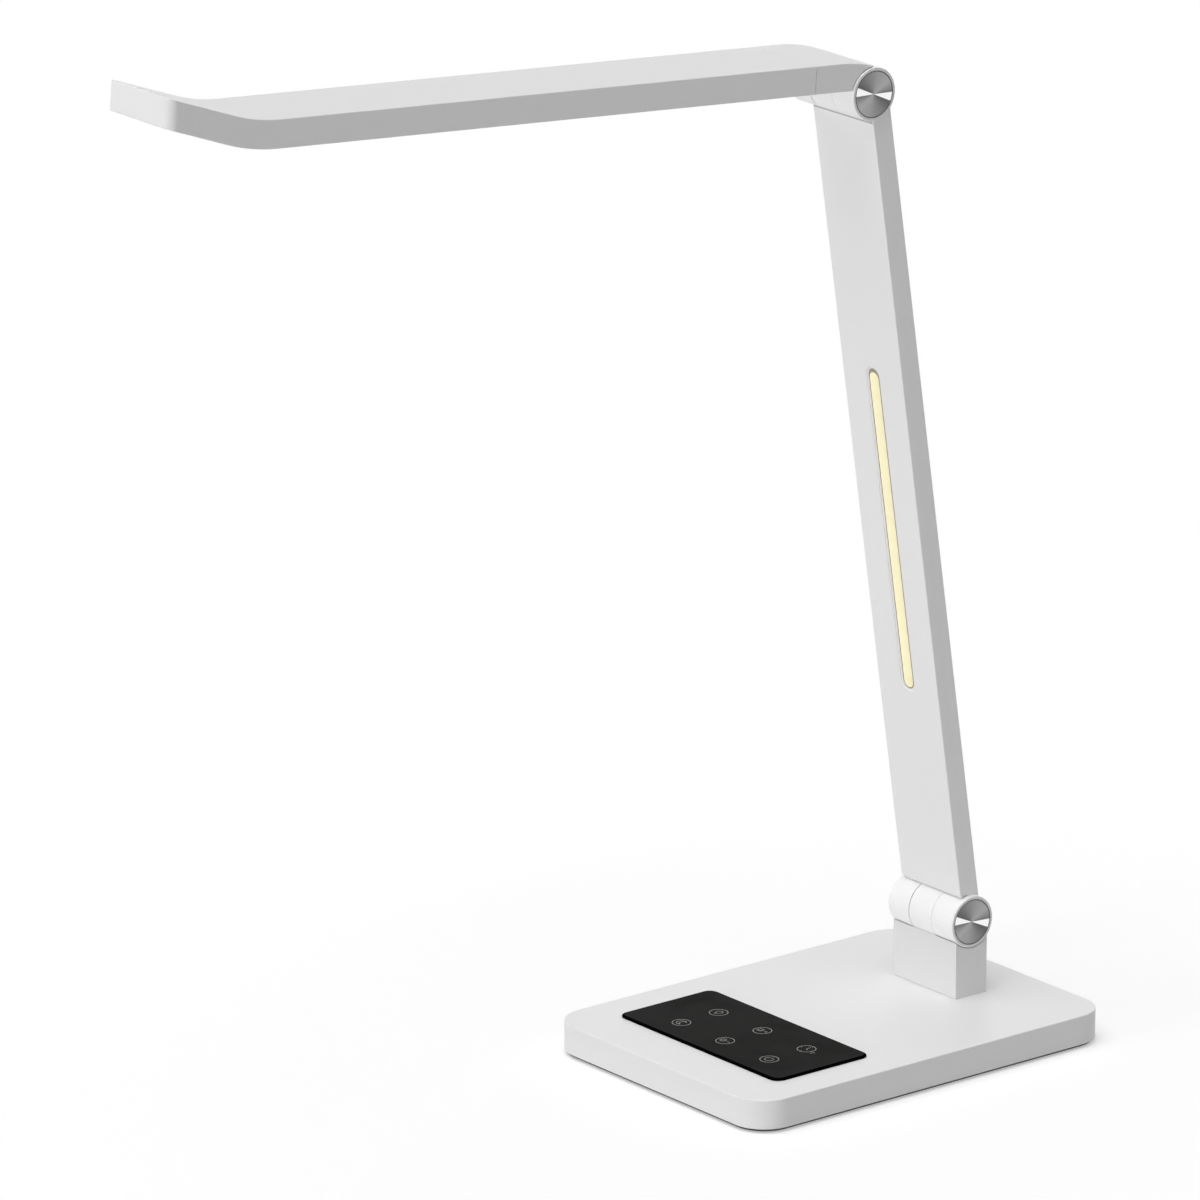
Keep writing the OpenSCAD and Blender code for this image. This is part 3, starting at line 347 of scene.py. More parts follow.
def warm_lens():
    """The night light's lens: warm tinted and glowing, with a ripple from the lamps behind it,
    blotches, and painted shade towards +X.
    """
    spot_pitch, half_width = 0.0083, 0.0034  # metres
    made, tree, shader = new_material("warm_lens", (1.0, 0.9, 0.58), Roughness=0.4,
                                      Emission_Strength=0.19)
    place = object_place(tree)
    parts = parts_of(tree, place)
    along = maths(tree, "SINE", times(tree, parts["Z"], 2 * pi / spot_pitch))
    # Darker towards +X: painted shade across the lens
    across = remap(tree, parts["X"], -half_width, half_width, 0.0, 1.0)
    blotch = noise(tree, place, 90.0)
    shading = plus(tree, times(tree, along, 0.08),
                   plus(tree, times(tree, across, 0.45), times(tree, blotch, 0.4)), clamp=True)
    color = mixed(tree, shading, (1.0, 0.93, 0.62, 1), (0.8, 0.73, 0.46, 1))
    feed(tree, shader, {"Emission Color": color})
    surface(tree, shader, color, noise(tree, place, 2500.0), 0.000004)
    return made


def opal_lens():
    """The head's diffuser: opal acrylic with a fine prismatic face."""
    made, tree, shader = new_material("opal_acrylic", (0.86, 0.86, 0.83), Roughness=0.42)
    place = object_place(tree)
    cells = add(tree, "ShaderNodeTexVoronoi", {"Vector": place, "Scale": 900.0},
                distance="MANHATTAN").outputs["Distance"]
    color = mixed(tree, noise(tree, place, 25.0), (0.88, 0.88, 0.85, 1), (0.83, 0.83, 0.8, 1))
    surface(tree, shader, color, cells, 0.00004, 0.6)
    return made


def clear_guide():
    """Clear acrylic light guide with etched dots on one face."""
    made, tree, shader = new_material("clear_acrylic", (0.9, 0.94, 0.95), Transmission_Weight=0.9,
                                      IOR=1.49, Roughness=0.05)
    cells = add(tree, "ShaderNodeTexVoronoi", {"Vector": object_place(tree), "Scale": 500.0,
                                               "Randomness": 0.0}).outputs["Distance"]
    dot = remap(tree, cells, 0.25, 0.32, 1.0, 0.0)
    surface(tree, shader, mixed(tree, dot, (0.9, 0.94, 0.95, 1), FULL_WHITE), dot, 0.00002)
    return made


def circuit_board(name, mask, copper):
    """Solder mask over square-cornered copper tracks."""
    made, tree, shader = new_material(name, mask, Roughness=0.4)
    place = object_place(tree)
    cells = add(tree, "ShaderNodeTexVoronoi", {"Vector": place, "Scale": 260.0},
                feature="DISTANCE_TO_EDGE").outputs["Distance"]
    brick = add(tree, "ShaderNodeTexBrick", {
        "Vector": place, "Color1": FULL_WHITE, "Color2": FULL_WHITE, "Mortar": (0, 0, 0, 1),
        "Scale": 90.0, "Mortar Size": 0.035, "Mortar Smooth": 0.1}).outputs["Color"]
    edge = remap(tree, cells, 0.02, 0.04, 1.0, 0.0)
    bare = times(tree, brick, minus(tree, 1.0, times(tree, edge, 0.4)))
    track = minus(tree, 1.0, bare)
    surface(tree, shader, mixed(tree, track, (*mask, 1), (*copper, 1)), track, 0.00002, 0.5)
    return made


WHITE_BASE = white("white_gloss_plastic", 0.82, 0.36, 0.4)
# A lighter copy of the base's white for the casing's top faces: painted light
WHITE_TOP_LIT = white("white_plastic_painted_top_light", 0.88, 0.36, 0.4)
WHITE_ARM = white("white_satin_plastic", 0.86, 0.4, 0.25)
WHITE_HEAD = white("white_soft_plastic", 0.84, 0.48, 0.06)
# A lighter copy of the white for the hinge barrels and caps: painted light
WHITE_HINGE_LIT = white("white_plastic_painted_barrel_light", 0.94, 0.36, 0.3)
# A darker copy of the white for the pedestal and the caps' flat rings: painted shade
WHITE_SHADED = white("white_plastic_painted_shade", 0.76, 0.42, 0.25)
WHITE_BEZEL = plastic("white_matt_plastic", 0.76, 0.5, grain=0.0006, depth=0.00001)
DARK = plastic("dark_matt_plastic", (0.045, 0.045, 0.047), 0.55, grain=0.0008, depth=0.00003,
               shade=0.15, gloss=0.12)
RUBBER = plastic("black_rubber", 0.02, 0.75, grain=0.0005, depth=0.00002, shade=0.2,
                 gloss=0.1, Specular_IOR_Level=0.3)
PART_BLACK = plastic("component_black", (0.03, 0.03, 0.032), 0.45, grain=0.0003, shade=0.2)
WIRE = plastic("wire_insulation", 0.025, 0.5, grain=0.0007, shade=0.2, gloss=0.1)
CERAMIC = plastic("led_ceramic", (0.8, 0.79, 0.75), 0.4, grain=0.0002)
PHOSPHOR = plastic("led_phosphor", (0.85, 0.62, 0.12), 0.5, grain=0.00015, shade=0.15)
INK = plastic("pale_ink", (0.33, 0.33, 0.32), 0.6, grain=0.0003, shade=0.1, Specular_IOR_Level=0.2)
LINING = plastic("friction_lining", (0.06, 0.05, 0.045), 0.8, depth=0.00003, shade=0.4)
FOIL = plastic("reflector_film", (0.88, 0.88, 0.87), 0.22, grain=0.0012, depth=0.00001)
# A dark grey for the recess and groove round each hinge disc: painted shade
GROOVE_SHADE = plastic("painted_groove_shade", 0.28, 0.6, grain=0.0003, shade=0.2, Specular_IOR_Level=0.1)
JOINT_SHADE = plastic("shaded_joint_line", 0.48, 0.6, grain=0.0003, shade=0.1,
                      Specular_IOR_Level=0.1)
PANEL_EDGE_SHADE = plastic("black_acrylic_painted_edge_shade", 0.0015, 0.4, shade=0.1, Specular_IOR_Level=0.0)
LENS_EDGE_SHADE = plastic("painted_lens_edge_shade", (0.36, 0.33, 0.22), 0.5, grain=0.0003, shade=0.2)
ZINC = metal("zinc_plated_steel", (0.55, 0.56, 0.58), 0.32, cloud=0.25)
SPRING_STEEL = metal("spring_steel", (0.42, 0.42, 0.44), 0.28, cloud=0.1)
CAST_WEIGHT = metal("cast_iron", (0.2, 0.2, 0.21), 0.6, lines=0.0012, cloud=0.5, depth=0.00004)
ALUMINIUM = metal("rolled_aluminium", (0.72, 0.73, 0.74), 0.35, stretch=(1, 0.04, 0.04), cloud=0.08)
TIN = metal("tinned_copper", (0.66, 0.66, 0.64), 0.3, cloud=0.2)
SPUN, PANEL, WARM_LENS, OPAL, CLEAR = (
    spun_metal(), black_panel(), warm_lens(), opal_lens(), clear_guide())
GREEN_BOARD = circuit_board("green_circuit_board", (0.02, 0.12, 0.05), (0.05, 0.26, 0.11))
WHITE_BOARD = circuit_board("white_circuit_board", (0.78, 0.78, 0.75), (0.7, 0.7, 0.66))

# ---------------- making and placing pieces

SHARP = 32.0  # degrees between the faces of an edge that is rounded or drawn sharp


def in_scene(name, data):
    made = bpy.data.objects.new(name, data)
    bpy.context.scene.collection.objects.link(made)
    return made


def as_object(name, bm):
    """An object from a bmesh, which is freed."""
    mesh = bpy.data.meshes.new(name)
    bm.to_mesh(mesh)
    bm.free()
    return in_scene(name, mesh)


def solved(obj):
    """The object with its modifiers worked into its mesh, and removed."""
    bpy.context.view_layer.update()
    graph = bpy.context.evaluated_depsgraph_get()
    mesh = bpy.data.meshes.new_from_object(obj.evaluated_get(graph), preserve_all_data_layers=True,
                                           depsgraph=graph)
    obj.modifiers.clear()
    obj.data = mesh
    return obj


def shaded(obj, angle):
    """Smooth shading with sharp edges kept, and flat faces that shade flat."""
    obj.data.shade_smooth()
    obj.data.set_sharp_from_angle(angle=radians(angle))
    weighted = obj.modifiers.new("weighted", "WEIGHTED_NORMAL")
    weighted.keep_sharp = True
    solved(obj)


def finished(obj, where, materials=(), nodes=(), angle=SHARP):
    """Shades a piece made in millimetres and places it, with its materials, on its body."""
    at, body = where
    shaded(obj, angle)
    obj.data.transform(TO_METRES @ at)
    obj.data.name = obj.name
    for material in materials:
        obj.data.materials.append(material)
    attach(obj, body)
    if nodes:
        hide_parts(*nodes)


def piece(name, bm, where, materials, nodes, angle=SHARP):
    """A finished piece from a bmesh in millimetres."""
    finished(as_object(name, bm), where, materials, nodes, angle)


def merged_copy(node, at):
    """A copy of a CAD node's mesh in a local frame, in millimetres, merged into whole faces."""
    bm = bmesh.new()
    bm.from_mesh(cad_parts[node].data)
    bmesh.ops.remove_doubles(bm, verts=bm.verts, dist=0.000002)
    bmesh.ops.transform(bm, matrix=at.inverted() @ Matrix.Scale(1000, 4), verts=bm.verts)
    bmesh.ops.dissolve_limit(bm, angle_limit=radians(0.2), verts=bm.verts, edges=bm.edges)
    return bm


def rounded(bm, radius, steps, keep=None):
    """Rounds the edges between faces that meet sharply, where both ends pass a test."""
    edges = [edge for edge in bm.edges
             if len(edge.link_faces) == 2 and edge.calc_face_angle(0) > radians(SHARP)
             and (keep is None or all(keep(vert.co) for vert in edge.verts))]
    bmesh.ops.bevel(bm, geom=edges, offset=radius, offset_type="OFFSET", segments=steps,
                    profile=0.5, affect="EDGES", clamp_overlap=False, miter_outer="SHARP",
                    miter_inner="SHARP", loop_slide=True)
    bmesh.ops.remove_doubles(bm, verts=bm.verts, dist=0.0005)


def painted(bm, pick):
    """Gives each face the number of its material in the piece's list."""
    for face in bm.faces:
        face.material_index = int(pick(face))
    return bm


def dressed(name, node, where, materials, rounds, pick=None):
    """A CAD node's shape with some edges rounded, each by (radius, steps, test of its ends)."""
    bm = merged_copy(node, where[0])
    for radius, steps, keep in rounds:
        rounded(bm, radius, steps, keep)
    piece(name, painted(bm, pick) if pick else bm, where, materials, [node])


def near(value, target, within=0.03):
    return abs(value - target) < within


def polar(radius, angle, centre=(0, 0)):
    """The point at a radius and an angle in degrees."""
    return centre[0] + radius * cos(radians(angle)), centre[1] + radius * sin(radians(angle))


def plan_gap(x, y, width, depth, radius):
    """How far a point lies outside a rectangle with round corners; negative inside it."""
    across, along = abs(x) - width / 2 + radius, abs(y) - depth / 2 + radius
    return hypot(max(across, 0), max(along, 0)) + min(max(across, along), 0) - radius


def off_axis(face, y=0, z=0):
    """How far the middle of a face lies from a hinge's axis at y and z."""
    middle = face.calc_center_median()
    return hypot(middle.y - y, middle.z - z)


def stacked(loops):
    """A surface through loops of equal count, closed by a face at each end."""
    bm = bmesh.new()
    rings = [[bm.verts.new(point) for point in loop] for loop in loops]
    for low, high in zip(rings, rings[1:]):
        for i in range(len(low)):
            j = (i + 1) % len(low)
            bm.faces.new((low[i], low[j], high[j], high[i]))
    bm.faces.new(rings[0][::-1])
    bm.faces.new(rings[-1])
    bmesh.ops.recalc_face_normals(bm, faces=bm.faces)
    return bm


def slab(width, depth, corner, side, y=0, steps=12):
    """A slab with round corners; its side is given from below as (inset, height) points."""
    across, along = width / 2 - corner, depth / 2 - corner
    centres = ((across, y + along), (-across, y + along), (-across, y - along), (across, y - along))
    return stacked([[(*polar(corner - inset, 90 * (turn + i / steps), centre), z)
                     for turn, centre in enumerate(centres) for i in range(steps + 1)]
                    for inset, z in side])


def turned(profile, segments=96):
    """A profile of (x, radius) points turned round X, with a map of angle and radius."""
    bm = bmesh.new()
    turning = bm.loops.layers.uv.new("turning")
    widest = max(radius for _, radius in profile)
    rings = [[bm.verts.new((x, *polar(radius, 360 * i / segments))) for i in range(segments)]
             if radius else [bm.verts.new((x, 0, 0))] * segments for x, radius in profile]
    for (low, high), (a, b) in zip(zip(rings, rings[1:]), zip(profile, profile[1:])):
        for i in range(segments):
            j = (i + 1) % segments
            corners = [(low[i], i, a), (low[j], i + 1, a), (high[j], i + 1, b), (high[i], i, b)]
            if a[1] == 0:
                corners = [(low[0], i + 0.5, a), corners[2], corners[3]]
            elif b[1] == 0:
                corners = [corners[0], corners[1], (high[0], i + 0.5, b)]
            face = bm.faces.new([corner[0] for corner in corners])
            for loop, (_, step, point) in zip(face.loops, corners):
                loop[turning].uv = (step / segments, point[1] / widest)
    bmesh.ops.recalc_face_normals(bm, faces=bm.faces)
    return bm


def mirrored_x(bm):
    """Adds the mesh's mirror image side to side."""
    made = bmesh.ops.duplicate(bm, geom=bm.verts[:] + bm.edges[:] + bm.faces[:])["geom"]
    copied = [item for item in made if isinstance(item, bmesh.types.BMVert)]
    faces = [item for item in made if isinstance(item, bmesh.types.BMFace)]
    bmesh.ops.scale(bm, vec=(-1, 1, 1), verts=copied)
    bmesh.ops.reverse_faces(bm, faces=faces)
    return bm

# ---------------- shapes made by node trees


def shape_tree(name, inputs):
    """A geometry node tree that starts from a mesh and has named inputs."""
    return new_group(name, "GeometryNodeTree", {"Geometry": GEOMETRY, **inputs},
                     {"Geometry": GEOMETRY})


def end_tree(tree, result, shape):
    real = add(tree, "GeometryNodeRealizeInstances", {"Geometry": shape}).outputs[0]
    feed(tree, result, {"Geometry": real})


def on_points(tree, given, result, shape, facing=None):
    """Ends a tree with a copy of the shape on each point, turned from upright to a direction."""
    inputs = {"Points": given["Geometry"], "Instance": shape}
    if facing:
        inputs["Rotation"] = add(tree, "FunctionNodeAlignRotationToVector", {
            "Vector": given[facing]}, axis="Z").outputs[0]
    end_tree(tree, result, add(tree, "GeometryNodeInstanceOnPoints", inputs).outputs[0])


def with_material(tree, shape, material):
    return add(tree, "GeometryNodeSetMaterial", {"Geometry": shape, "Material": material}).outputs[0]


def raised(tree, shape, height):
    return add(tree, "GeometryNodeTransform", {
        "Geometry": shape, "Translation": vector(tree, z=height)}).outputs[0]


def joined(tree, *shapes):
    return add(tree, "GeometryNodeJoinGeometry", {0: list(reversed(shapes))}).outputs[0]


def cube(tree, x, y, z):
    return add(tree, "GeometryNodeMeshCube", {"Size": vector(tree, x, y, z)}).outputs[0]


def drum(tree, radius, height, sides, rows=1):
    return add(tree, "GeometryNodeMeshCylinder", {
        "Vertices": sides, "Side Segments": rows, "Radius": radius, "Depth": height}).outputs[0]


def ring(tree, radius, steps):
    return add(tree, "GeometryNodeCurvePrimitiveCircle", {
        "Resolution": steps, "Radius": radius}).outputs[0]


def helix(tree, radius, height, turns, steps):
    return add(tree, "GeometryNodeCurveSpiral", {
        "Resolution": steps, "Rotations": turns, "Start Radius": radius, "End Radius": radius,
        "Height": height}).outputs[0]


def swept(tree, curve, section, capped=True):
    return add(tree, "GeometryNodeCurveToMesh", {
        "Curve": curve, "Profile Curve": section, "Fill Caps": capped}).outputs[0]


def screws_tree():
    """Cross-head screws on points: domed head, cross recess, shank and rolled thread."""
    tree, given, result = shape_tree("Cross-head screws", {
        "Head Radius": 2.6, "Head Height": 1.3, "Thread Radius": 1.3, "Thread Length": 8.0,
        "Thread Pitch": 0.7, "Direction": UP, "Material": MATERIAL})
    head_r, head_h, length = given["Head Radius"], given["Head Height"], given["Thread Length"]
    blank = raised(tree, drum(tree, head_r, head_h, 32, rows=3), over(tree, head_h, 2.0))
    place = tree.nodes.new("GeometryNodeInputPosition").outputs[0]
    lowest = add(tree, "FunctionNodeCompare", {
        "A": parts_of(tree, place)["Z"], "B": times(tree, head_h, 0.1)},
        operation="LESS_THAN").outputs[0]
    head = add(tree, "GeometryNodeSetPosition", {
        "Geometry": blank, "Selection": lowest,
        "Position": multiplied(tree, place, (0.8, 0.8, 1.0))}).outputs[0]
    arm, thin = times(tree, head_r, 1.15), times(tree, head_r, 0.26)
    deep = times(tree, head_h, 1.1)
    head = add(tree, "GeometryNodeMeshBoolean", {
        0: head, 1: [cube(tree, arm, thin, deep), cube(tree, thin, arm, deep)]},
        operation="DIFFERENCE", solver="EXACT").outputs[0]
    core_r = times(tree, given["Thread Radius"], 0.8)
    core = raised(tree, drum(tree, core_r, length, 16),
                  plus(tree, head_h, over(tree, length, 2.0)))
    winding = helix(tree, core_r, times(tree, length, 0.96),
                    over(tree, length, given["Thread Pitch"]), 12)
    ridge = ring(tree, times(tree, given["Thread Radius"], 0.17), 3)
    thread = raised(tree, swept(tree, winding, ridge), head_h)
    screw = with_material(tree, joined(tree, head, core, thread), given["Material"])
    on_points(tree, given, result, screw, "Direction")
    return tree


def springs_tree():
    """Coil springs on points, with their end turns closed."""
    tree, given, result = shape_tree("Coil springs", {
        "Coil Radius": 2.7, "Wire Radius": 0.25, "Height": 3.0, "Turns": 4.0,
        "Material": MATERIAL})
    coil_r, wire_r, height = given["Coil Radius"], given["Wire Radius"], given["Height"]
    wire = ring(tree, wire_r, 8)
    rise = minus(tree, height, times(tree, wire_r, 2.0))
    coil = swept(tree, helix(tree, coil_r, rise, given["Turns"], 28), wire)
    ends = [raised(tree, swept(tree, ring(tree, coil_r, 28), wire, capped=False), level)
            for level in (wire_r, minus(tree, height, wire_r))]
    spring = joined(tree, raised(tree, coil, wire_r), *ends)
    on_points(tree, given, result, with_material(tree, spring, given["Material"]))
    return tree


def leds_tree():
    """LED packages on points: a ceramic body, a phosphor window and two soldered ends."""
    tree, given, result = shape_tree("LED packages", {
        "Length": 2.8, "Width": 2.8, "Height": 0.7, "Facing": UP, "Body": MATERIAL,
        "Window": MATERIAL, "Solder": MATERIAL})
    length, width, height = given["Length"], given["Width"], given["Height"]
    blocks = [with_material(tree, raised(
        tree, cube(tree, times(tree, length, x), times(tree, width, y), times(tree, height, z)),
        times(tree, height, middle)), given[material])
        for material, x, y, z, middle in (("Body", 0.86, 1.0, 0.9, 0.45),
                                          ("Window", 0.6, 0.7, 0.3, 0.85),
                                          ("Solder", 1.0, 0.6, 0.3, 0.15))]
    on_points(tree, given, result, joined(tree, *blocks), "Facing")
    return tree


def studs_tree():
    """Small grip studs on the underside of a pad, one on each point."""
    tree, given, result = shape_tree("Grip studs", {
        "Stud Radius": 1.2, "Stud Height": 0.35, "Material": MATERIAL})
    stud = add(tree, "GeometryNodeMeshCone", {
        "Vertices": 8, "Radius Bottom": times(tree, given["Stud Radius"], 0.7),
        "Radius Top": given["Stud Radius"], "Depth": given["Stud Height"]},
        fill_type="NGON").outputs[0]
    on_points(tree, given, result, with_material(tree, stud, given["Material"]))
    return tree


def strokes_tree():
    """Printed lines: each run of edges becomes a flat stroke of ink."""
    tree, given, result = shape_tree("Printed strokes", {
        "Line Width": 0.35, "Ink Thickness": 0.03, "Material": MATERIAL})
    run = add(tree, "GeometryNodeMeshToCurve", {"Mesh": given["Geometry"]}).outputs[0]
    level = add(tree, "GeometryNodeSetCurveNormal", {"Curve": run}).outputs[0]
    section = add(tree, "GeometryNodeCurvePrimitiveQuadrilateral", {
        "Width": given["Line Width"], "Height": given["Ink Thickness"]}).outputs[0]
    ink = swept(tree, level, section)
    end_tree(tree, result, with_material(tree, ink, given["Material"]))
    return tree


SCREWS, SPRINGS, LEDS, STUDS, STROKES = (
    screws_tree(), springs_tree(), leds_tree(), studs_tree(), strokes_tree())


def grown(name, tree, points, values, edges=()):
    """A mesh made by a node tree from points or runs of edges, with the tree's inputs set."""
    mesh = bpy.data.meshes.new(name)
    mesh.from_pydata(points, edges, [])
    obj = in_scene(name, mesh)
    modifier = obj.modifiers.new("shape", "NODES")
    modifier.node_group = tree
    for item in tree.interface.items_tree:
        if item.item_type == "SOCKET" and item.in_out == "INPUT" and item.name in values:
            modifier[item.identifier] = values[item.name]
    return solved(obj)


def leds(name, places, facing, length, width, height):
    return grown(name, LEDS, places, {
        "Length": length, "Width": width, "Height": height, "Facing": facing, "Body": CERAMIC,
        "Window": PHOSPHOR, "Solder": TIN})

# ---------------- base


def on_base_side(co, inset=0):
    gap = plan_gap(co.x, co.y, BASE_W - 2 * inset, BASE_D - 2 * inset, BASE_CORNER - inset)
    return near(gap, 0, 0.05)


def on_recess_side(co):
    return near(plan_gap(co.x, co.y - PANEL_Y, PANEL_W, PANEL_D, PANEL_CORNER), PANEL_GAP, 0.05)


# The casing's top faces take the lighter white: painted light on the top
dressed("base_casing", "base_shell", ON_DESK, [WHITE_BASE, WHITE_TOP_LIT], [
    (0.45, 4, lambda co: near(co.z, BASE_TOP) and on_base_side(co)),
    (0.4, 4, lambda co: near(co.z, BASE_LOW) and on_base_side(co)),
    (0.15, 2, lambda co: near(co.z, BASE_TOP) and on_recess_side(co)),
    (0.2, 2, lambda co: near(co.y, BASE_D / 2) and hypot(co.x - JACK_X, co.z - JACK_Z) < JACK_RIM),
], lambda face: face.normal.z > 0.9 and face.calc_center_median().z > BASE_TOP - 0.2)

dressed("bottom_plate", "base_bottom_plate", ON_DESK, [DARK], [
    (0.35, 3, lambda co: near(co.z, PLATE_LOW) and on_base_side(co, PLATE_INSET))])

STUD_R, STUD_H, STUD_MARGIN = 1.3, 0.35, 2.4
STUD_ROWS, STUD_COLUMNS, STUD_PITCH_X, STUD_PITCH_Y = 20, 15, 4.2, 3.78
pad = slab(PAD_W, PAD_D, PAD_CORNER, (
    (0.6, STUD_H), (0.25, STUD_H + 0.06), (0.06, STUD_H + 0.2), (0, STUD_H + 0.4), (0, PAD_TOP)))
piece("grip_pad", pad, ON_DESK, [RUBBER], ["non_slip_pad"])

stud_grid = [((column + 0.5 * (row % 2)) * STUD_PITCH_X, row * STUD_PITCH_Y)
             for row in range(-STUD_ROWS, STUD_ROWS + 1)
             for column in range(-STUD_COLUMNS, STUD_COLUMNS + 1)]
studs = grown("grip_studs", STUDS, [
    (x, y, 0) for x, y in stud_grid if plan_gap(x, y, PAD_W, PAD_D, PAD_CORNER) < -STUD_MARGIN],
    {"Stud Radius": STUD_R, "Stud Height": STUD_H, "Material": RUBBER})
finished(studs, ON_DESK)

# The glass sits in its recess, and its bevelled rim covers the gap around it.
glass = slab(PANEL_W, PANEL_D, PANEL_CORNER, (
    (0.1, PANEL_LOW), (0, PANEL_LOW + 0.1), (0, BASE_TOP + 0.05),
    (-0.72, BASE_TOP + 0.05), (-0.8, BASE_TOP + 0.13), (-0.78, PANEL_TOP - 0.6),
    (-0.6, PANEL_TOP - 0.4), (0.15, PANEL_TOP - 0.03), (0.25, PANEL_TOP)), PANEL_Y)
# The bevel and sides take a blacker copy of the acrylic without reflection: painted shade
painted(glass, lambda face: any(vert.co.z < PANEL_TOP - 0.01 for vert in face.verts))
piece("touch_glass", glass, ON_DESK, [PANEL, PANEL_EDGE_SHADE], ["touch_panel"],
      angle=12)

# ---------------- touch keys


def arc(radius, start, end, centre=(0, 0), steps=24):
    return [polar(radius, start + (end - start) * i / steps, centre) for i in range(steps + 1)]


def rays(count, inner, outer, centre=(0, 0)):
    return [[polar(radius, 360 * i / count, centre) for radius in (inner, outer)]
            for i in range(count)]


def key_place(column, row, x=0, y=0, z=0):
    """A point of a key: its column is -1, 0 or 1 and its row is -1 or 1."""
    return KEY_X + column * KEY_PITCH_X + x, KEY_Y + row * KEY_PITCH_Y / 2 + y, z


KEY_RING = [arc(4.1, 0, 360, steps=48)]
SUN_AT = (-1.2, 0)
DIMMER = KEY_RING + [arc(1.1, 0, 360, SUN_AT)] + rays(8, 1.5, 2.0, SUN_AT) + [[(1.6, 0), (3.2, 0)]]
POWER = [arc(2.0, 125, 415), [(0, 0.9), (0, 2.5)]]
CLOCK = [[(0, 2.4), (0, 0), (1.5, -1.0)]] + rays(4, 3.0, 3.6)
SLEEP = [[(4.9, -0.6), (6.3, -0.6), (4.9, -2.2), (6.3, -2.2)]]
MOON = [arc(2.3, 60, 300), arc(1.75, 285, 75, (1.05, 0))]
BULB = [arc(1.5, -50, 230, (0, 0.5)), [(-0.95, -0.65), (-0.75, -1.4), (0.75, -1.4), (0.95, -0.65)],
        [(-0.6, -2.1), (0.6, -2.1)]]
KEYS = {(1, -1): KEY_RING + POWER, (1, 1): KEY_RING + CLOCK + SLEEP,
        (0, -1): DIMMER, (0, 1): DIMMER + [[(2.4, -0.8), (2.4, 0.8)]],
        (-1, -1): KEY_RING + MOON, (-1, 1): KEY_RING + BULB}
mark_points, mark_edges = [], []
for key, strokes in KEYS.items():
    for stroke in strokes:
        first = len(mark_points)
        mark_points += [key_place(*key, x, y, PANEL_TOP) for x, y in stroke]
        mark_edges += [(first + i, first + i + 1) for i in range(len(stroke) - 1)]
marks = grown("key_marks", STROKES, mark_points, {
    "Line Width": 0.34, "Ink Thickness": 0.04, "Material": INK}, mark_edges)
finished(marks, ON_DESK)

# ---------------- pedestal and hinges


def on_barrel(face, y=0, z=0):
    """Whether a face belongs to the barrel of a hinge, whose axis is at y and z; such faces take the
    lighter white, painted light.
    """
    return off_axis(face, y, z) < BARREL_R + 0.1


def on_knuckle_rim(co):
    return near(abs(co.x), KNUCKLE_HALF) and near(hypot(co.y, co.z), BARREL_R)


# The barrel's faces take the lighter white, painted light; the rest takes the darker white, painted
# shade
dressed("pedestal_housing", "pedestal", ON_PEDESTAL,
        [WHITE_SHADED, WHITE_HINGE_LIT], [
            (0.5, 4, lambda co: near(abs(co.x), PEDESTAL_W / 2)
             and near(abs(co.y), PEDESTAL_D / 2)),
            (0.3, 3, on_knuckle_rim)], on_barrel)

# Profiles as (x, radius) points. A cap has the disc's seat, the ring round it, a rounded edge and
# a hollow spigot; a disc has a rim, a groove, a raised ring and a shallow dish.
SEAT_X, SPIGOT_X, SPIGOT_R, SPIGOT_BORE, SPIGOT_FLOOR = 21.2, 18.9, 9.7, 8.4, 20.5
CAP_PROFILE = [
    (SEAT_X, 0), (SEAT_X, 10.26), (21.66, 10.26), (21.76, 10.3), (CAP_END, 10.4),
    (CAP_END, 11.2), (21.75, 11.4), (21.63, 11.58), (21.45, 11.71), (21.2, BARREL_R),
    (BARREL_HALF, BARREL_R), (BARREL_HALF, SPIGOT_R), (SPIGOT_X, SPIGOT_R),
    (SPIGOT_X, SPIGOT_BORE), (SPIGOT_FLOOR, SPIGOT_BORE), (SPIGOT_FLOOR, 0)]
DISH_R, DISH_DEPTH, DISH_STEPS, FACE_X = 8.7, 0.3, 10, 21.68
DISC_PROFILE = [
    (SEAT_X, 0), (SEAT_X, DISC_R), (21.3, DISC_R), (21.3, 10.0), (21.62, 10.0),
    (21.7, 9.9), (21.72, 9.75), (21.72, 9.3), (FACE_X, 8.9)] + [
    (FACE_X - DISH_DEPTH * (1 - i / DISH_STEPS), DISH_R * i / DISH_STEPS)
    for i in range(DISH_STEPS - 1, -1, -1)]
# Caps: the flat ring between RING_R and EDGE_R takes the darker white, and the recess inside RING_R
# the dark grey; discs take the dark grey outside FACE_R. Both are painted shade.
RING_R, EDGE_R, FACE_R = 10.35, 11.3, 9.85
for end, at in (("lower", AT_LOWER @ turn_x(radians(ARM_LEAN) - ARM_SLANT)), ("upper", AT_UPPER)):
    on_hinge = (at, "arm")
    caps = painted(turned(CAP_PROFILE), lambda face: (off_axis(face) <= EDGE_R)
                   + (off_axis(face) <= RING_R))
    piece(end + "_hinge_caps", mirrored_x(caps), on_hinge,
          [WHITE_HINGE_LIT, WHITE_SHADED, GROOVE_SHADE], [end + "_caps"])
    discs = painted(turned(DISC_PROFILE), lambda face: off_axis(face) > FACE_R)
    piece(end + "_hinge_discs", mirrored_x(discs), on_hinge, [SPUN, GROOVE_SHADE],
          [end + "_discs"])
    dressed(end + "_hex_nut", end + "_nut", on_hinge, [ZINC], [(0.35, 2, None)])

# ---------------- arm


def on_slot(co, grow, y):
    """Whether a point is on the night light's outline, grown by a margin, at a depth."""
    along = max(SLOT_START + SLOT_R - co.z, co.z - SLOT_END + SLOT_R, 0)
    return near(co.y, y) and near(hypot(co.x, along), SLOT_R + grow, 0.05)


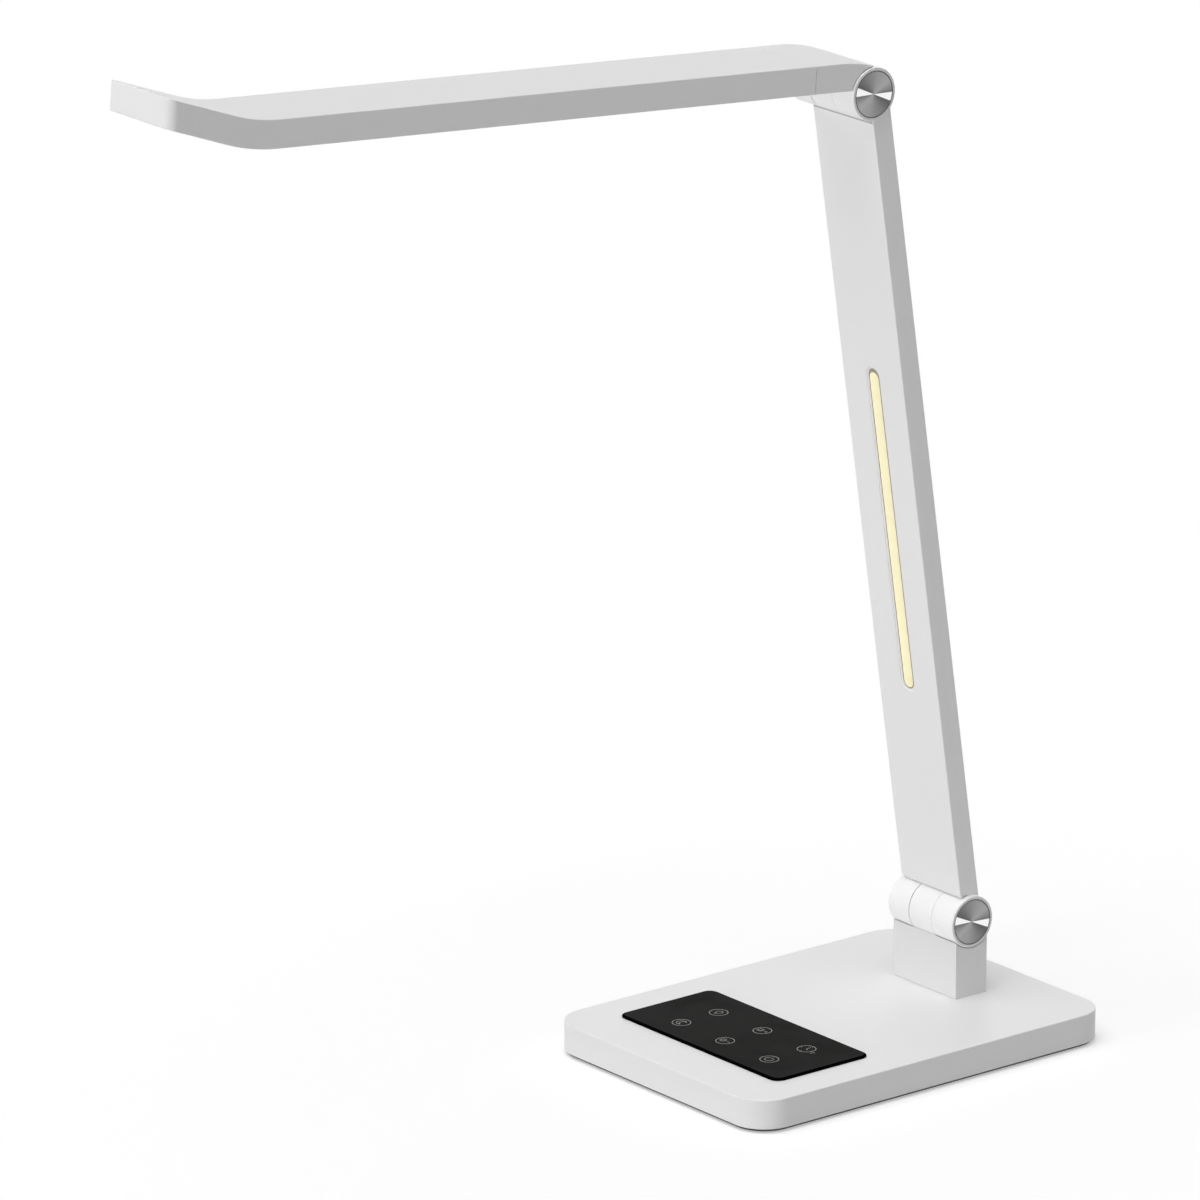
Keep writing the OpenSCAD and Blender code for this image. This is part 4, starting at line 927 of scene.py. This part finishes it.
def slot_loop(grow, y, lowered=0, steps=16):
    """The night light's outline, grown or shrunk, at a depth, with its top end lowered."""
    outline = [polar(SLOT_R + grow, start + 180 * i / steps, (0, middle))
               for middle, start in ((SLOT_END - SLOT_R - lowered, 0), (SLOT_START + SLOT_R, 180))
               for i in range(steps + 1)]
    return [(x, y, z) for x, z in outline]


# The last strip of the front, under the upper barrel, lies in its shade.
JOINT_LINE_Z = UPPER_Z - BARREL_R - 2.1
front = merged_copy("arm_front_shell", AT_ARM)
rounded(front, 0.45, 4, lambda co: near(abs(co.x), ARM_W / 2) and near(co.y, ARM_FRONT))
rounded(front, 0.4, 3, lambda co: on_slot(co, SLOT_RIM, ARM_FRONT))
rounded(front, 0.12, 2, lambda co: on_slot(co, 0, ARM_FRONT + SLOT_RIM_DEPTH))
rounded(front, 0.3, 2, lambda co: near(co.y, ARM_FRONT) and co.z < NECK_Z + 0.8)
bmesh.ops.bisect_plane(front, geom=front.verts[:] + front.edges[:] + front.faces[:], dist=0.0001,
                       plane_co=(0, 0, JOINT_LINE_Z), plane_no=UP)
painted(front, lambda face: face.normal.y < -0.9 and face.calc_center_median().z > JOINT_LINE_Z)
piece("arm_front", front, ON_ARM, [WHITE_ARM, JOINT_SHADE],
      ["arm_front_shell"])

# The barrels' faces take the lighter white: painted light
dressed("arm_back", "arm_back_shell", ON_ARM, [WHITE_ARM, WHITE_HINGE_LIT], [
    (0.6, 4, lambda co: near(abs(co.x), ARM_W / 2) and near(co.y, ARM_BACK)),
], lambda face: on_barrel(face) or on_barrel(face, UPPER_Y, UPPER_Z))

# The lens from its flange to its face, as loops of (growth, depth, how far the top end is lowered).
LENS_EDGE_LOOPS = ((1.5, -1.05), (1.5, -1.85), (-0.1, -1.87), (-0.1, -2.9), (-0.2, -3.0))
LENS_FACE_LOOPS = ((-0.65, -3.08, 1.1), (-1.2, -3.13, 1.1), (-2.2, -3.15, 1.1))
lens_loops = [slot_loop(*loop) for loop in LENS_EDGE_LOOPS + LENS_FACE_LOOPS]
lens = stacked(lens_loops)
# The faces of the edge loops take a dark olive: painted shade round the lens
for i, face in enumerate(lens.faces):
    face.material_index = int(i < len(LENS_EDGE_LOOPS) * len(lens_loops[0]))
piece("night_light_lens", lens, ON_ARM, [WARM_LENS, LENS_EDGE_SHADE],
      ["night_light_diffuser"])

night_pitch = (SLOT_END - SLOT_START - 2 * NIGHT_LED_MARGIN) / (NIGHT_LEDS - 1)
night_lamps = leds("night_light_lamps", [
    (0, NIGHT_BOARD_Y, SLOT_START + NIGHT_LED_MARGIN + i * night_pitch)
    for i in range(NIGHT_LEDS)], FORWARD, 2.8, 2.8, 0.7)
finished(night_lamps, ON_ARM, nodes=["night_light_leds"])

# ---------------- head

# The middle knuckle's faces take the lighter white: painted light
dressed("hinge_cover", "head_hinge_cover", ON_HEAD,
        [WHITE_HEAD, WHITE_HINGE_LIT], [
            (0.4, 4, lambda co: near(abs(co.x), HEAD_W / 2) and co.z > HEAD_LOW - 0.1
             and co.y < -2),
            (0.3, 3, on_knuckle_rim)],
        lambda face: on_barrel(face) and abs(face.calc_center_median().x) < KNUCKLE_HALF)

dressed("head_shell", "head_top_shell", ON_HEAD, [WHITE_HEAD], [
    (0.4, 4, lambda co: near(abs(co.x), HEAD_W / 2) or co.y < HEAD_END + TIP_CORNER - 0.1)])

dressed("lower_bezel", "head_bottom_bezel", ON_HEAD, [WHITE_BEZEL], [
    (0.2, 2, lambda co: near(co.z, HEAD_LOW) and abs(co.x) < WINDOW_HALF
     and WINDOW_END < co.y < WINDOW_START)])

dressed("opal_window", "head_diffuser", ON_HEAD, [OPAL], [
    (0.3, 2, lambda co: near(co.z, HEAD_LOW + 0.2))])

reading_lamps = leds("reading_lamps", [
    (HEAD_LED_X, HEAD_LED_START - i * HEAD_LED_PITCH, HEAD_LED_Z) for i in range(HEAD_LEDS)],
    LEFT, 1.4, 3.0, 0.9)
both_rows = bmesh.new()
both_rows.from_mesh(reading_lamps.data)
mirrored_x(both_rows).to_mesh(reading_lamps.data)
both_rows.free()
finished(reading_lamps, ON_HEAD, nodes=["head_leds"])

# ---------------- screws and springs

# A kind of screw: radius and height of its head, radius of its thread
SCREW, LOW_SCREW, ARM_SCREW, SPINE_SCREW, SMALL_SCREW = (
    (2.6, 1.3, 1.3), (2.6, 1, 1.3), (2.1, 1, 1.3), (2.2, 0.9, 1.3), (1.7, 1, 0.8))
# Where screws stand: across from the middle, in from the edges of a board, and along
CASE_SCREW_X, CASE_SCREW_Y, CASE_SCREW_Z = 64.6, 87.8, 0.8
BOARD_SCREW_IN, CONTROL_SCREW_IN = 3.5, 3
PEDESTAL_SCREW_X, PEDESTAL_SCREW_BACK = 15.5, 3.3
ARM_SCREW_X, ARM_SCREW_SUNK, ARM_SCREW_LOW, ARM_SCREW_HIGH = 14.8, 0.2, 78, 75
SPINE_SCREW_X, SPINE_SCREW_Y, SPINE_SCREW_REACH = 4.5, 0.45, (44, 54)
SINK_SCREW_X, SINK_SCREW_Y, SINK_SCREW_Z = 12, (-71.5, -312.5), 6.9
LUG_SCREW_X, LUG_SCREW_Y, LUG_SCREW_Z = 9, (-39.4, -61), 4.7


def screws(name, node, where, kind, length, direction, x, ys, zs):
    """Screws to both sides, for each y and z of their heads' outer faces; they replace a node."""
    head_r, head_h, thread_r = kind
    places = [(side * x, y, z) for side in (-1, 1) for y in ys for z in zs]
    obj = grown(name, SCREWS, places, {
        "Head Radius": head_r, "Head Height": head_h, "Thread Radius": thread_r,
        "Thread Length": length, "Thread Pitch": thread_r * 0.6, "Direction": direction,
        "Material": ZINC})
    finished(obj, where, nodes=[node])


def around(middle, half):
    return middle - half, middle + half


screws("case_screws", "base_screws", ON_DESK, SCREW, 8, UP,
       CASE_SCREW_X, (-CASE_SCREW_Y, 0, CASE_SCREW_Y), [CASE_SCREW_Z])
screws("touch_board_fixings", "touch_board_screws", ON_DESK, SMALL_SCREW, 3.0, UP,
       PANEL_W / 2 - BOARD_SCREW_IN, around(PANEL_Y, PANEL_D / 2 - BOARD_SCREW_IN), [BOARD_Z - 1])
screws("control_board_fixings", "control_board_screws", ON_DESK, SMALL_SCREW, 4.0, DOWN,
       CONTROL_W / 2 - CONTROL_SCREW_IN, around(CONTROL_Y, CONTROL_D / 2 - CONTROL_SCREW_IN),
       [CONTROL_TOP + 1])
screws("pedestal_fixings", "pedestal_screws", ON_DESK, LOW_SCREW, 8.6, UP,
       PEDESTAL_SCREW_X, [AXIS_Y + PEDESTAL_SCREW_BACK], [CEILING - 1])
screws("post_fixings", "post_screws", ON_DESK, SCREW, 6.1, DOWN,
       FLANGE_W / 2 - BOARD_SCREW_IN, around(AXIS_Y, FLANGE_D / 2 - BOARD_SCREW_IN),
       [FLANGE_TOP + SCREW[1]])
screws("arm_back_screws", "arm_screws", ON_ARM, ARM_SCREW, 7.0, FORWARD,
       ARM_SCREW_X, [ARM_BACK - ARM_SCREW_SUNK], (ARM_SCREW_LOW, ARM_LEN - ARM_SCREW_HIGH))
screws("spine_fixings", "spine_screws", ON_ARM, SPINE_SCREW, 3.4, BACK,
       SPINE_SCREW_X, [SPINE_SCREW_Y],
       SPINE_SCREW_REACH + tuple(UPPER_Z - reach for reach in SPINE_SCREW_REACH))
screws("heat_sink_fixings", "heat_sink_screws", ON_HEAD, SMALL_SCREW, 3.5, UP,
       SINK_SCREW_X, SINK_SCREW_Y, [SINK_SCREW_Z])
screws("lug_fixings", "lug_screws", ON_HEAD, SCREW, 5.5, UP,
       LUG_SCREW_X, LUG_SCREW_Y, [LUG_SCREW_Z])

springs = grown("key_springs", SPRINGS, [key_place(*key, z=BOARD_Z + BOARD_T) for key in KEYS], {
    "Coil Radius": 2.7, "Wire Radius": 0.25, "Height": 3.0, "Turns": 4.0,
    "Material": SPRING_STEEL})
finished(springs, ON_DESK, nodes=["touch_springs"])

# ---------------- finishes of the other parts

FINISHES = {
    CAST_WEIGHT: ["counterweight"],
    GREEN_BOARD: ["touch_board", "control_board"],
    WHITE_BOARD: ["night_light_board", "head_led_boards"],
    PART_BLACK: ["control_components", "dc_jack"],
    WIRE: ["base_harness", "arm_cable", "head_cable"],
    ZINC: ["hinge_post", "arm_spine", "lower_fork", "upper_fork", "head_lug"],
    SPRING_STEEL: ["lower_shaft", "upper_shaft", "lower_spring_washers", "upper_spring_washers"],
    LINING: ["lower_friction_washers", "upper_friction_washers"],
    CLEAR: ["light_guide"],
    FOIL: ["reflector_sheet"],
    ALUMINIUM: ["heat_sink"],
}
for material, nodes in FINISHES.items():
    for node in nodes:
        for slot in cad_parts[node].material_slots:
            slot.material = material

# ---------------- floor, lamps and camera

FLOOR_HALF, FLOOR_NEAR, FLOOR_FAR = 6.0, 0.35, 0.9  # metres


def seen_directly(tree):
    """1 for what the camera sees, itself or in a reflection, and 0 for light on a surface."""
    path = add(tree, "ShaderNodeLightPath").outputs
    return plus(tree, path["Is Camera Ray"],
                plus(tree, path["Is Glossy Ray"], path["Is Transmission Ray"]), clamp=True)


def pale_floor():
    """A pale floor that fades to white away from the lamp, and is clear from beneath."""
    made = bpy.data.materials.new("pale_floor")
    made.use_nodes = True
    tree = made.node_tree
    tree.nodes.clear()
    seen = seen_directly(tree)
    distance = add(tree, "ShaderNodeVectorMath", {0: object_place(tree)},
                   operation="LENGTH").outputs["Value"]
    fade = times(tree, seen, remap(tree, distance, FLOOR_NEAR, FLOOR_FAR, 0.0, 1.0))
    paint = add(tree, "ShaderNodeBsdfDiffuse", {"Color": (0.68, 0.68, 0.68, 1)}).outputs[0]
    glow = times(tree, seen, 0.42)
    lift = add(tree, "ShaderNodeEmission", {"Color": FULL_WHITE, "Strength": glow}).outputs[0]
    near_lamp = add(tree, "ShaderNodeAddShader", {0: paint, 1: lift}).outputs[0]
    far_off = add(tree, "ShaderNodeEmission", {"Color": FULL_WHITE, "Strength": 1.0}).outputs[0]
    top = add(tree, "ShaderNodeMixShader", {0: fade, 1: near_lamp, 2: far_off}).outputs[0]
    beneath = add(tree, "ShaderNodeNewGeometry").outputs["Backfacing"]
    clear = add(tree, "ShaderNodeBsdfTransparent").outputs[0]
    both = add(tree, "ShaderNodeMixShader", {0: beneath, 1: top, 2: clear}).outputs[0]
    add(tree, "ShaderNodeOutputMaterial", {"Surface": both})
    return made


ground = bmesh.new()
bmesh.ops.create_grid(ground, x_segments=2, y_segments=2, size=FLOOR_HALF)
floor = as_object("floor", ground)
floor.data.materials.append(pale_floor())

world = bpy.data.worlds.new("studio")
world.use_nodes = True
bpy.context.scene.world = world
studio = world.node_tree
feed(studio, studio.nodes["Background"].inputs, {
    "Color": FULL_WHITE, "Strength": remap(studio, seen_directly(studio), 0.0, 1.0, 0.13, 1.0)})


def lamp(name, toward, strength, softness, glossy=True, diffuse=True):
    """A far lamp that shines from a direction; its softness is its width in degrees.

    Without glossy it leaves no glint, and without diffuse it shows only as a glint.
    """
    light = bpy.data.lights.new(name, "SUN")
    light.energy = strength
    light.angle = radians(softness)
    made = in_scene(name, light)
    made.rotation_euler = Vector(toward).to_track_quat("Z", "Y").to_euler()
    made.visible_glossy, made.visible_diffuse = glossy, diffuse


lamp("key_lamp", (0, -0.28, 0.96), 2.22, 60)
lamp("front_lamp", (0, -1, 0.05), 1.17, 10, glossy=False)
lamp("right_lamp", (0.97, 0, 0.26), 0.25, 40)
lamp("back_lamp", (-0.45, 0.9, 0.02), 0.7, 10, glossy=False)
lamp("edge_lamp", (0.5, 0.2, 0.84), 3.0, 50, diffuse=False)

CAMERA_AT = Vector((3.42577, -2.86453, 1.60304))  # metres
LOOK_AT = Vector((-0.06308, -0.079, 0.20505))
camera = bpy.data.cameras.new("camera")
camera.lens = 323.7
camera.sensor_width = 36
camera.clip_end = 50
viewer = in_scene("camera", camera)
viewer.location = CAMERA_AT
viewer.rotation_euler = (LOOK_AT - CAMERA_AT).to_track_quat("-Z", "Y").to_euler()
bpy.context.scene.camera = viewer
bpy.context.scene.view_settings.view_transform = "Standard"
